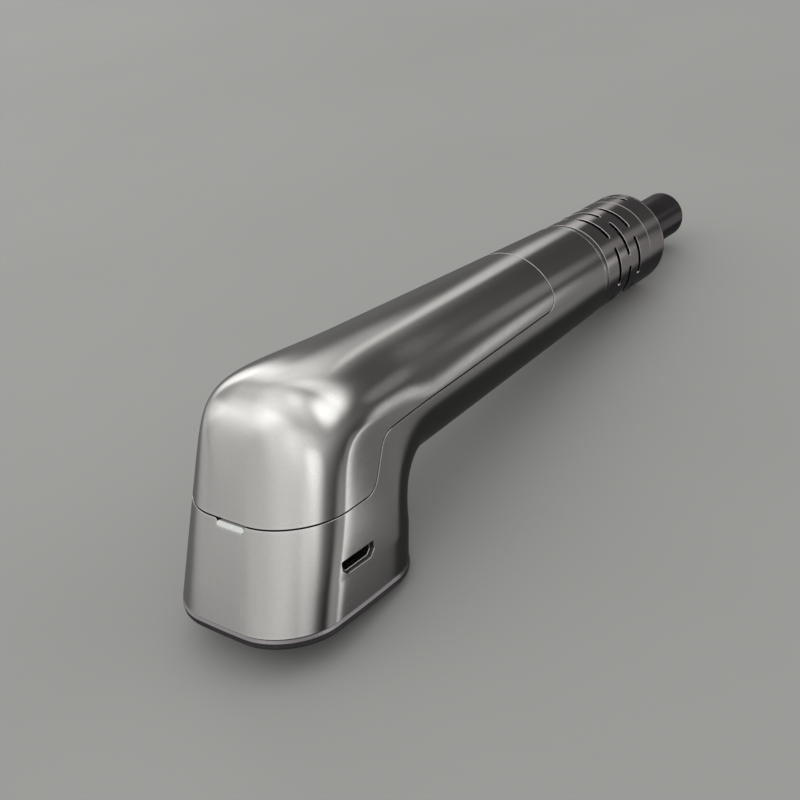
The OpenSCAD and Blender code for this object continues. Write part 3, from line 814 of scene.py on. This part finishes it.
def plastic(name, base, rough, grain_scale=6000, bump=0.25, tint=None, coat=0.0):
    """Fine-grained plastic, rubber or ceramic that drifts between two tones."""
    mat = Material(name)
    grain = mat.noise(scale=grain_scale, rough=0.6)
    drift = mat.noise(scale=120, detail=4, rough=0.6, distort=0.4)
    tint = tint or tuple(min(1, channel * 1.5 + 0.01) for channel in base)
    mat.set(Coat_Weight=coat, Coat_Roughness=0.04,
            Base_Color=mat.mix(mat.remap(drift, source=(0.3, 0.75)), base, tint),
            Roughness=mat.math("ADD", mat.remap(grain, to=(rough - 0.05, rough + 0.05)),
                               mat.remap(drift, source=(0.4, 0.8), to=(0, 0.07))),
            Normal=mat.bump(grain, strength=bump, distance=0.00003))


def pad_rubber():
    mat = Material("pad_rubber")
    grain = mat.noise(scale=3600, detail=4, rough=0.65)
    drift = mat.noise(scale=160, detail=4, rough=0.6, distort=0.5)
    colour = mat.mix(mat.remap(drift), (0.030, 0.028, 0.031), (0.048, 0.045, 0.049))
    dust = mat.remap(mat.noise(scale=1500, detail=6, rough=0.75), source=(0.62, 0.72),
                     to=(0, 0.35))
    normal = mat.node("SeparateXYZ", mat.node("NewGeometry").outputs["Normal"])
    painted_top_sheen = mat.remap(normal.outputs["Z"], source=(0.35, 0.62))      # painted highlight: faces turned upwards get a lighter, more metallic, smoother lip
    dusty = mat.mix(dust, colour, (0.12, 0.118, 0.12))
    # the lighter colour on upward-facing faces is a painted highlight
    mat.set(Specular_IOR_Level=0.6,
            Base_Color=mat.mix(painted_top_sheen, dusty, (0.20, 0.185, 0.195)),
            Metallic=mat.scaled(painted_top_sheen, by=0.75),
            Roughness=mat.math("SUBTRACT", mat.remap(grain, to=(0.3, 0.42)),
                               mat.scaled(painted_top_sheen, by=0.12)),
            Normal=mat.bump(grain, strength=0.35, distance=0.00003))


def dark_gloss():
    mat = Material("dark_gloss")
    drift = mat.noise(scale=90, detail=4, rough=0.6, distort=0.4)
    grain = mat.noise(scale=900, stretch=(4, 0.4, 0.4), turn=ALONG_ARM)
    mat.set(Metallic=0.85, Coat_Weight=0.8, Coat_Roughness=0.03,
            Base_Color=mat.mix(mat.remap(drift), (0.115, 0.097, 0.107), (0.075, 0.064, 0.071)),
            Roughness=mat.math("ADD", mat.remap(grain, to=(0.07, 0.11)),
                               mat.remap(drift, source=(0.5, 0.8), to=(0, 0.06))),
            Normal=mat.bump(grain, strength=0.03, distance=0.00001))


def light_bar():
    mat = Material("light_bar")
    drift = mat.noise(scale=900, detail=4, rough=0.6)
    mat.set(Base_Color=mat.mix(mat.remap(drift), (0.80, 0.80, 0.79), (0.72, 0.72, 0.715)),
            Roughness=mat.remap(drift, to=(0.28, 0.4)),
            Subsurface_Weight=0.35, Subsurface_Scale=0.0006,
            # the faint emission is a painted glow on the white plastic
            Emission_Color=(1, 1, 0.99, 1), Emission_Strength=0.04,
            Normal=mat.bump(drift, strength=0.1, distance=0.00002))


def board_mask():
    """Green solder mask with a pattern of bricks for its tracks."""
    mat = Material("board_mask")
    tracks = mat.node("TexBrick", Vector=mat.coords(turn=ALONG_ARM), Scale=320.0,
                      Mortar_Size=0.035, Color1=(0.006, 0.085, 0.04, 1),
                      Color2=(0.008, 0.10, 0.05, 1), Mortar=(0.03, 0.2, 0.09, 1))
    drift = mat.noise(scale=420, detail=4, rough=0.6)
    mat.set(Coat_Weight=0.5, Coat_Roughness=0.08,
            Base_Color=mat.mix(mat.remap(drift, source=(0.45, 0.6), to=(0, 0.6)),
                               tracks.outputs["Color"], (0.01, 0.14, 0.07)),
            Roughness=mat.remap(drift, to=(0.24, 0.36)),
            Normal=mat.bump(tracks.outputs["Fac"], strength=0.4, distance=0.00003))


def cell_wrap():
    mat = Material("cell_wrap")
    drift = mat.noise(scale=160, detail=4, rough=0.6, distort=0.3)
    wrinkle = mat.noise(scale=300, rough=0.6, stretch=(0.6, 4, 4), turn=ALONG_ARM)
    mat.set(Coat_Weight=0.6, Coat_Roughness=0.1,
            Base_Color=mat.mix(mat.remap(drift), (0.012, 0.075, 0.22), (0.02, 0.11, 0.30)),
            Roughness=mat.remap(wrinkle, to=(0.2, 0.32)),
            Normal=mat.bump(wrinkle, strength=0.25, distance=0.00006))


def guide_glass():
    mat = Material("guide_glass")
    streak = mat.noise(scale=500, rough=0.6, stretch=(0.3, 6, 6), turn=ALONG_ARM)
    mat.set(Coat_Weight=1.0, Coat_Roughness=0.02, Transmission_Weight=0.25,
            Base_Color=mat.mix(mat.remap(streak, source=(0.35, 0.65)),
                               (0.34, 0.39, 0.42), (0.2, 0.24, 0.27)),
            Roughness=mat.remap(streak, to=(0.08, 0.16)),
            Normal=mat.bump(streak, strength=0.05, distance=0.00002))


def floor_paint():
    mat = Material("floor_paint")
    drift = mat.noise(scale=9)
    grain = mat.noise(scale=1400, rough=0.6)
    mat.set(Specular_IOR_Level=0.25,
            Base_Color=mat.mix(mat.remap(drift), (0.33, 0.33, 0.325), (0.315, 0.315, 0.31)),
            Roughness=mat.remap(grain, to=(0.55, 0.65)),
            Normal=mat.bump(grain, strength=0.03, distance=0.00004))


# name, base colour, darker tone,
# roughness, its spread, grain scale, grain stretch, bump, grain along the arm, worn edges
METALS = [
    ("satin_steel", (0.67, 0.66, 0.648), (0.58, 0.571, 0.56),
     0.12, 0.03, 2600, (0.1, 1.6, 1.6), 0.03, True, True),
    # rougher inner steel whose colour is darkened as painted shade, for faces inside the shell and
    # in the seam gap
    ("steel_inside", (0.26, 0.255, 0.25), (0.19, 0.185, 0.18),
     0.45, 0.05, 1500, (0.5, 2, 2), 0.12, True, False),
    ("dark_nickel", (0.64, 0.588, 0.598), (0.48, 0.44, 0.448),
     0.095, 0.025, 2600, (2.2, 0.12, 0.12), 0.03, True, True),
    ("ring_steel", (0.66, 0.65, 0.645), (0.52, 0.51, 0.51),
     0.16, 0.03, 900, (5.0, 0.5, 0.5), 0.06, True, False),
    ("bright_steel", (0.72, 0.715, 0.70), (0.62, 0.61, 0.60),
     0.2, 0.04, 2600, (1, 1, 1), 0.08, False, False),
    ("turned_aluminium", (0.74, 0.745, 0.755), (0.64, 0.645, 0.655),
     0.3, 0.05, 1200, (6, 0.4, 0.4), 0.14, True, False),
    ("magnet_plate", (0.62, 0.61, 0.58), (0.5, 0.49, 0.47),
     0.16, 0.03, 3000, (1, 1, 1), 0.05, False, False),
    ("coil_copper", (0.62, 0.30, 0.16), (0.42, 0.17, 0.08),
     0.32, 0.06, 1600, (0.4, 0.4, 12), 0.35, False, False),
    ("contact_gold", (0.83, 0.61, 0.25), (0.7, 0.48, 0.16),
     0.2, 0.04, 2400, (1, 1, 1), 0.08, False, False),
    ("reflector_mirror", (0.86, 0.86, 0.87), (0.8, 0.8, 0.82),
     0.06, 0.02, 1800, (6, 0.4, 0.4), 0.02, True, False),
]
# name, base colour, roughness, grain scale, bump, second tone, coat
PLASTICS = [
    ("inner_plastic", (0.035, 0.036, 0.04), 0.5),
    ("chip_epoxy", (0.018, 0.018, 0.02), 0.42, 9000, 0.3),
    ("tongue_plastic", (0.015, 0.015, 0.017), 0.35),
    ("seal_rubber", (0.012, 0.012, 0.013), 0.42, 3000, 0.15),
    ("trigger_rubber", (0.045, 0.045, 0.05), 0.58, 5200, 0.5),
    ("capacitor_ceramic", (0.36, 0.24, 0.13), 0.45, 5000, 0.2),
    ("flex_film", (0.42, 0.17, 0.02), 0.22, 2200, 0.08, (0.5, 0.24, 0.04), 0.4),
    ("wire_silicone", (0.42, 0.015, 0.012), 0.38, 3000, 0.15),
    ("led_ceramic", (0.78, 0.74, 0.45), 0.3, 3500, 0.1, (0.85, 0.82, 0.6), 0.5),
    ("socket_plastic", (0.66, 0.62, 0.52), 0.42, 5200, 0.15),
]
for row in METALS:
    metal(*row)
for row in PLASTICS:
    plastic(*row)
for build in (pad_rubber, dark_gloss, light_bar, board_mask, cell_wrap, guide_glass):
    build()

# finishes of the CAD pieces whose slot or node asks for one of another name
FINISH_OF_SLOT = {"board": "board_mask", "chip": "chip_epoxy", "flex_amber": "flex_film",
                  "magnet_nickel": "magnet_plate", "sink_aluminium": "turned_aluminium",
                  "wire_red": "wire_silicone"}
FINISH_OF_NODE = {"usb_tongue": "tongue_plastic", "flex_socket": "socket_plastic"}
for part in RECORD["subparts"]:
    slot = part["material_slot"]
    finish = FINISH_OF_NODE.get(part["node"], FINISH_OF_SLOT.get(slot, slot))
    materials = NODES[part["node"]].data.materials
    materials.clear()
    materials.append(FINISHES[finish])

# ---------------------------------------------------------------- body shells
# the second finish, the darkened inner steel, is painted shade on the inner faces and seam-gap
# walls
SHELL_FINISHES = ["satin_steel", "steel_inside"]
SHELL_BEVEL = 0.07
# columns round the section, packed closer near w = 0.757
SHELL_COLUMNS = 340
even_w = np.linspace(0, 1, 2001)
density = 1.0 + 1.6 * np.exp(-((even_w - 0.757) / 0.045) ** 4)
packed = np.concatenate([[0], np.cumsum((density[1:] + density[:-1]) / 2)])
packed /= packed[-1]
SHELL_W = np.interp(np.arange(SHELL_COLUMNS) / SHELL_COLUMNS, packed, even_w)
# rows along the skin: start, stop, step
SHELL_V = np.concatenate([np.arange(*run) for run in (
    (0.7, 10.0, 0.38), (10.0, 11.6, 0.05), (11.6, 20.0, 0.09), (20.0, 33.75, 0.2))])

housing = clip_skin("housing_skin", body_skin, SHELL_V, SHELL_W, housing_field, SHELL_BEVEL, WALL,
                    REST, "handpiece", SHELL_FINISHES, edge_width=0.35, adjust=straight_bore)
cover = clip_skin("cover_skin", body_skin, SHELL_V, SHELL_W, cover_field, SHELL_BEVEL, WALL,
                  REST, "cover", SHELL_FINISHES, edge_width=0.25)
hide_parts("lower_housing")
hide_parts("upper_cover")
# the lens takes the light bar's finish, with its faint painted glow
lens = clip_skin("light_lens", body_skin, np.arange(10.0, 20.0, 0.06),
                 np.linspace(0, 1, 300, endpoint=False), lens_field, 0.06, 1.3,
                 REST, "handpiece", ["light_bar"], edge_width=0.5)
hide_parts("status_light")

# screw bosses under the board, each with a rib running outwards along X
for k, x in enumerate((-11.2, 12.3)):
    points, outward = circle(40)
    # bosses and ribs take the darkened inner steel, painted shade
    ring_sweep(f"housing_boss_{k}", (points + np.array([x, 0]), outward),
               [(1.2, 3.7), (2.4, 3.7, 0.25), (2.4, 6.6, 0.3), (1.2, 6.6, 0.2)],
               REST, "handpiece", "steel_inside")
    x0, x1 = (-17.4, x - 1.9) if x < 0 else (x + 1.9, 18.6)
    ring_sweep(f"housing_rib_{k}", round_rect(x1 - x0, 3.4, 0.5, x=(x0 + x1) / 2),
               [(0, 3.7, 0.2), (0, 6.5, 0.3)], REST, "handpiece", "steel_inside",
               closed=False, capped=True)

# cups in the roof of the cover, and the pairs of magnets that meet there
MAGNET_S, MAGNET_R, MAGNET_ROUND = 8, 2.0, 0.22


def magnet(name, low, high, y, body):
    profile = [(0, low), (MAGNET_R, low, MAGNET_ROUND), (MAGNET_R, high, MAGNET_ROUND), (0, high)]
    return ring_sweep(name, circle(48), profile, standing(MAGNET_S, y), body, "magnet_plate",
                      closed=False)


for k, y in enumerate((-4.2, 4.2)):
    # the cups take the darkened inner steel, painted shade
    ring_sweep(f"cover_cup_{k}", circle(48),
               [(2.05, 7.35, 0.1), (2.6, 7.35, 0.15), (2.6, 11.3), (2.05, 11.3)],
               standing(MAGNET_S, y), "cover", "steel_inside")
    cover_magnet = magnet(f"cover_magnet_{k}", 7.38, 8.82, y, "cover")
    chassis_magnet = magnet(f"chassis_magnet_{k}", 5.47, 7.03, y, "handpiece")
    if k == 0:
        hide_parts("cover_magnets")
        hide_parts("chassis_magnets")

# ---------------------------------------------------------------- pad and socket
points, outward = round_rect(FOOT_LENGTH, FOOT_WIDTH, FOOT_CORNER, steps=18, side=14)
points = np.column_stack(crowned(points[:, 0], points[:, 1], FOOT_LENGTH / 2, FOOT_WIDTH / 2,
                                 CROWN))
# offset from the foot's outline, height, corner radius
PAD_PROFILE = [
    (-3.0, 1.96), (-0.42, 1.96, 0.04), (-0.36, 1.84, 0.04), (0.14, 1.34, 0.12),
    (0.14, 1.06, 0.06), (0.06, 0.96, 0.04), (0.08, 0.5, 0.2), (-0.2, 0.02, 0.3), (-1.5, 0.02)]
pad = ring_sweep("foot_pad", (points, outward), PAD_PROFILE, REST, "handpiece", "pad_rubber",
                 closed=False, capped=True)
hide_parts("base_pad")

# the socket is drawn in the foot's XZ plane and runs out towards -Y
USB_FRAME = Frame(REST.point((PORT_X, 0, PORT_Z - 0.05)), REST_X, REST_Z, -ACROSS)
USB_OUTLINE = [(-3.75, 1.12), (3.75, 1.12), (3.75, -0.2), (2.85, -1.12), (-2.85, -1.12),
               (-3.75, -0.2)]
USB_CORNER = 0.42
usb = ring_sweep("usb_socket_shell", polygon_outline(USB_OUTLINE, USB_CORNER),
                 [(USB_CORNER, 9.85), (USB_CORNER, 15.0, 0.1), (0.16, 15.0, 0.1), (0.16, 9.85)],
                 USB_FRAME, "handpiece", "bright_steel")
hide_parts("usb_shell")
CONTACT_PITCH = 0.65
for k in range(5):
    contact = round_rect(0.24, 0.08, 0.03, x=-2 * CONTACT_PITCH + CONTACT_PITCH * k, y=0.06,
                         steps=3, side=2)
    ring_sweep(f"usb_contact_{k}", contact, [(0.0, 10.7, 0.02), (0.0, 13.75, 0.03)],
               USB_FRAME, "handpiece", "contact_gold", closed=False, capped=True)

# ---------------------------------------------------------------- joint ring and collar
# Turned profiles are tables of radius, station, corner radius.
JOINT_R = arm_radius(END_S) - 0.06
joint_ring = lathe("joint_ring_turned", [
    (7.9, 87.5, 0.1), (9.4, 87.5, 0.2), (9.4, END_S + 0.07), (JOINT_R, END_S + 0.07, 0.13),
    (JOINT_R, 93.35, 0.5), (COLLAR_R, 94.38, 0.1), (9.55, 94.38), (9.55, 97.6, 0.15),
    (7.9, 97.6, 0.1)], "handpiece", "ring_steel", count=160)
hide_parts("joint_ring")

SLOT_ROWS = [(99.8, 0.0), (104.5, 30.0), (109.1, 0.0)]     # station, turn of the row in degrees
SLOT_MID, SLOT_PITCH, SLOT_HALF_SPAN = 24.0, 60.0, 24.0    # degrees
SLOT_HALF_WIDTH = 0.575
HOLE_S, HOLE_ANGLES = 118.6, (10.0, -1.5, -13.0)
HOLE_R, HOLE_HALF_FLAT = 0.55, 0.3
RING_W = np.linspace(0, 1, 300, endpoint=False)


def collar_skin(start):
    """A cylinder of the collar's radius; v is in millimetres from the start station."""
    def skin(v, w):
        angle = w * 2 * math.pi
        return np.stack([start + v + 0 * w, COLLAR_R * np.cos(angle) + 0 * v,
                         COLLAR_R * np.sin(angle) + 0 * v], axis=-1)
    return skin


def angle_round(P):
    """Degrees from the +Z side towards the socket side."""
    return np.degrees(np.arctan2(-P[..., 1], P[..., 2]))


def slots_field(P):
    best = np.full(P.shape[:-1], FAR)
    for station, row_turn in SLOT_ROWS:
        turn = (angle_round(P) - (SLOT_MID + row_turn) + SLOT_PITCH / 2) % SLOT_PITCH
        arc = np.radians(np.abs(turn - SLOT_PITCH / 2)) * COLLAR_R
        beyond = np.maximum(
            arc - (math.radians(SLOT_HALF_SPAN) * COLLAR_R - SLOT_HALF_WIDTH), 0)
        best = np.minimum(best, np.hypot(beyond, P[..., 0] - station) - SLOT_HALF_WIDTH)
    return best


def collar_field(P):
    return np.maximum.reduce([-slots_field(P), 94.53 - P[..., 0], P[..., 0] - 114.53])


def front_ring_field(P):
    out = np.maximum(114.67 - P[..., 0], P[..., 0] - 121.2)
    for angle in HOLE_ANGLES:
        arc = np.radians(angle_round(P) - angle) * COLLAR_R
        beyond = np.maximum(np.abs(arc) - HOLE_HALF_FLAT, 0)
        out = np.maximum(out, -(np.hypot(beyond, P[..., 0] - HOLE_S) - HOLE_R))
    return out


collar = clip_skin("vent_collar_shell", collar_skin(94.0), np.arange(0, 21.2, 0.22), RING_W,
                   collar_field, 0.08, 1.2, ARM, "collar", ["dark_nickel"], edge_width=0.3,
                   normals_at=skin_normals)
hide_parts("vent_collar")

front_ring = clip_skin("front_ring_shell", collar_skin(114.0), np.arange(0, 8.0, 0.16), RING_W,
                       front_ring_field, 0.06, 2.2, ARM, "collar", ["dark_nickel"],
                       edge_width=0.25, normals_at=skin_normals)
NOSE_R = COLLAR_R - 0.03
lathe("front_ring_nose", [
    (8.7, 121.24), (NOSE_R, 121.24, 0.05), (NOSE_R, 121.95, 0.35), (9.7, 122.05, 0.1),
    (9.45, 121.85, 0.1), (7.3, 121.85, 0.25), (6.62, 121.3, 0.1), (6.62, 119.7),
    (8.7, 119.7)], "collar", "dark_nickel", count=160)
lathe("front_ring_spigot", [(8.6, 111.6, 0.1), (9.55, 111.6, 0.2), (9.55, 119.7), (8.6, 119.7)],
      "collar", "dark_nickel")
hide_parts("front_ring")

# ---------------------------------------------------------------- tip
bush = lathe("guide_bush_turned", [
    (4.3, 118.75), (7.5, 118.75), (7.5, 119.6), (6.55, 119.6), (6.55, 122.2, 0.2),
    (6.1, 122.88, 0.2), (4.9, 122.88, 0.25), (4.3, 122.5, 0.2)],
    "bush", "inner_plastic", count=96)
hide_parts("guide_bush")
SLEEVE_BORE, SLEEVE_NECK, SLEEVE_GROOVE, SLEEVE_R = 3.52, 4.25, 3.83, 5.55
sleeve = lathe("tip_sleeve_turned", [
    (SLEEVE_BORE, 119.0), (SLEEVE_NECK, 119.0), (SLEEVE_NECK, 119.94),
    (SLEEVE_GROOVE, 119.94), (SLEEVE_GROOVE, 120.46), (SLEEVE_NECK, 120.46),
    (SLEEVE_NECK, 121.34), (SLEEVE_GROOVE, 121.34), (SLEEVE_GROOVE, 121.86),
    (SLEEVE_NECK, 121.86), (SLEEVE_NECK, 123.1), (5.15, 123.1, 0.1), (SLEEVE_R, 123.5, 0.3),
    (SLEEVE_R, 143.93, 0.55), (4.35, 143.93, 0.35), (3.95, 142.9, 0.3), (SLEEVE_BORE, 142.9)],
    "guide", "dark_gloss", steps=6)
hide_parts("tip_sleeve")
guide = lathe("light_guide_rod", [
    (0, 119.0), (3.3, 119.0), (3.5, 119.2), (3.5, 142.3), (3.1, 142.75, 0.5),
    (2.0, 142.98, 1.2), (0, 143.04)], "guide", "guide_glass", count=96, closed=False)
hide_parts("light_guide")

# ---------------------------------------------------------------- trigger
# Its frame has Z pointing out of the crook side. The face is dished, with finger rings.
TRIGGER_FRAME = Frame(ARM.point((TRIGGER_S, 0, 0)), ALONG, -ACROSS, -AWAY)
trigger = ring_sweep("trigger_cap", circle(72), [
    (0, 10.32), (4.22, 10.32, 0.1), (4.22, 13.12, 0.45), (3.3, 13.16, 0.1), (3.1, 13.0, 0.08),
    (2.9, 13.12, 0.08), (2.2, 13.02, 0.1), (2.0, 12.88, 0.08), (1.8, 12.98, 0.08),
    (0.9, 12.9, 0.3), (0, 12.88)], TRIGGER_FRAME, "trigger", "trigger_rubber", closed=False)
ring_sweep("trigger_ears", round_rect(11.6, 3.8, 0.6), [(0, 10.32, 0.1), (0, 10.7, 0.1)],
           TRIGGER_FRAME, "trigger", "trigger_rubber", closed=False, capped=True)
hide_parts("trigger_button")

# ---------------------------------------------------------------- floor
bpy.ops.mesh.primitive_plane_add(size=24, location=(0, 0, -0.00005))
floor = bpy.context.object
floor.name = "floor"
floor_paint()
floor.data.materials.append(FINISHES["floor_paint"])
floor.visible_glossy = False

# ---------------------------------------------------------------- world
# Soft-edged oval lights: azimuth (0 = +X, 90 = +Y), elevation, half sizes and turn on the
# dome, all in degrees, then strength.
SOFTBOXES = [
    (-50.0, 35.0, 23.5, 15.5, 32.2, 1.42),   # main box, to the camera's right
    (-14.0, 40.4, 31.5, 7.0, 33.6, 0.78),    # strip joining it to the far box
    (35.8, 34.8, 29, 12.4, -20.4, 0.87),
    (61.6, 13.1, 11, 18.6, 41.6, 1.08),      # far box, long and slanted
    (138.2, 49.8, 48, 23.5, 44.9, 0.71),     # broad box to the camera's left
    (99.5, 12.6, 30, 9.8, 45.4, 0.43),
    (14.0, 76.0, 50, 24, -17.5, 0.80),       # overhead box
    (-107.3, 2.3, 15, 7.4, -44.2, 0.58),     # low box by the socket side
    (-119.6, 19.9, 17.4, 28, 48.8, 0.34),
    (-162.0, 46.3, 49, 27.2, -57.2, 0.35),   # broad near box
    (-176.0, 63.0, 15, 9, 0, 0.12),
    (-24.0, 71.0, 13, 9, 0, 0.26),
    (-36.8, -12.0, 9.5, 2.9, 63, 0.58),      # bright line below the horizon, in two runs
    (-51.0, -28.6, 13.0, 2.9, 34, 1.05),
    (-68.0, -27.0, 13, 7.5, 0, 0.33),
    (-52.0, -20.0, 6, 4, 20, 0.18),
    (-43.0, -32.0, 11, 6, 20, 0.12),
    (-28.5, 8.5, 7.0, 4.2, 60, 0.17),        # faint strip above it
    (19.1, 21.0, 15.5, 3.2, -52.7, 0.62),    # narrow slanted strip
    (-29.5, -20.0, 9, 12, 0, 0.18),
    (-114.0, -5.6, 14, 8.4, -19.5, 0.29),
    (66.7, -4.0, 46, 39, -49.7, 0.12),
    (101.9, -9.7, 34, 5, 7.2, 0.20),
]
EDGE_POWER = 1.9                    # higher gives the boxes a harder edge
BRIGHT_SIDE = math.radians(194.7)   # azimuth towards which the room is lighter
ROOM_SIDE, ROOM_BASE, ROOM_BELOW = 0.609, 0.055, 0.03      # side gain, least, below the horizon
ROOM_TINT = (1.0, 0.995, 0.975)
BACKDROP = (0.39, 0.389, 0.379, 1)  # what the camera itself sees

world = bpy.data.worlds.new("studio")
bpy.context.scene.world = world
world.use_nodes = True
sky = Nodes(world.node_tree)
SKY_DIRECTION = sky.node("TexCoord").outputs["Generated"]


def sky_dot(vector):
    return sky.node("VectorMath", SKY_DIRECTION, tuple(vector),
                    operation="DOT_PRODUCT").outputs["Value"]


def softbox(azimuth, elevation, half_x, half_y, turn, strength):
    a, e, r = (math.radians(angle) for angle in (azimuth, elevation, turn))
    centre = np.array([math.cos(e) * math.cos(a), math.cos(e) * math.sin(a), math.sin(e)])
    level = np.array([-math.sin(a), math.cos(a), 0.0])
    upright = np.cross(centre, level)
    axis_x = (math.cos(r) * level + math.sin(r) * upright) / math.sin(math.radians(half_x))
    axis_y = (-math.sin(r) * level + math.cos(r) * upright) / math.sin(math.radians(half_y))
    x, y = sky_dot(axis_x), sky_dot(axis_y)
    oval = sky.math("ADD", sky.math("MULTIPLY", x, x), sky.math("MULTIPLY", y, y))
    glow = sky.math("EXPONENT", sky.scaled(sky.math("POWER", oval, EDGE_POWER), by=-1.0))
    # keeps the box off the opposite side of the dome
    this_side = sky.math("ADD", sky.scaled(sky_dot(centre), by=3.0), 0.5, clamp=True)
    return sky.scaled(sky.math("MULTIPLY", glow, this_side), by=strength)


light = None
for row in SOFTBOXES:
    box = softbox(*row)
    light = box if light is None else sky.math("ADD", light, box)
# the room: a smooth step from the dark side to the bright one, dimmed below the horizon
towards = sky_dot((math.cos(BRIGHT_SIDE), math.sin(BRIGHT_SIDE), 0))
half = sky.math("ADD", sky.scaled(towards, by=0.5), 0.5)
side = sky.math("MULTIPLY", sky.math("MULTIPLY", half, half),
                sky.math("SUBTRACT", 3.0, sky.scaled(half, by=2.0)))
room = sky.math("ADD", sky.scaled(side, by=ROOM_SIDE), ROOM_BASE)
above = sky.math("DIVIDE", sky.math("ADD", sky_dot((0, 0, 1)), 0.35), 0.4, clamp=True)
room = sky.math("ADD", sky.math("MULTIPLY", room, above),
                sky.scaled(sky.math("SUBTRACT", 1.0, above), by=ROOM_BELOW))
light = sky.math("ADD", light, room)
colour = sky.node("CombineColor")
for socket, tint in zip(colour.inputs, ROOM_TINT):
    sky.feed(socket, sky.scaled(light, by=tint))
studio = sky.tree.nodes["Background"]
sky.feed(studio.inputs["Color"], colour.outputs[0])
studio.inputs["Strength"].default_value = 1.0
backdrop = sky.node("Background", Color=BACKDROP)
camera_ray = sky.node("LightPath").outputs["Is Camera Ray"]
shown = sky.node("MixShader", camera_ray, studio.outputs[0], backdrop.outputs[0])
sky.feed(sky.tree.nodes["World Output"].inputs["Surface"], shown.outputs[0])

# ---------------------------------------------------------------- camera
# place (mm) and axes in the rest frame
CAMERA_PLACE = (-121.56816, -122.99426, 108.25938)
CAMERA_RIGHT = (0.5998007, -0.7971384, -0.0693508)
CAMERA_UP = (0.3593951, 0.1909551, 0.9134393)
CAMERA_VIEW = (0.7148946, 0.5728058, -0.4010227)
lens_data = bpy.data.cameras.new("camera")
lens_data.sensor_fit = "HORIZONTAL"
lens_data.sensor_width = 36.0
lens_data.lens = 51.75
lens_data.clip_start = 0.01
camera = bpy.data.objects.new("camera", lens_data)
bpy.context.scene.collection.objects.link(camera)
columns = [REST.direction(CAMERA_RIGHT), REST.direction(CAMERA_UP),
           -REST.direction(CAMERA_VIEW), REST.point(CAMERA_PLACE)]
camera.matrix_world = Matrix([*zip(*columns), (0, 0, 0, 1)])
bpy.context.scene.camera = camera
bpy.context.scene.view_settings.view_transform = "Standard"
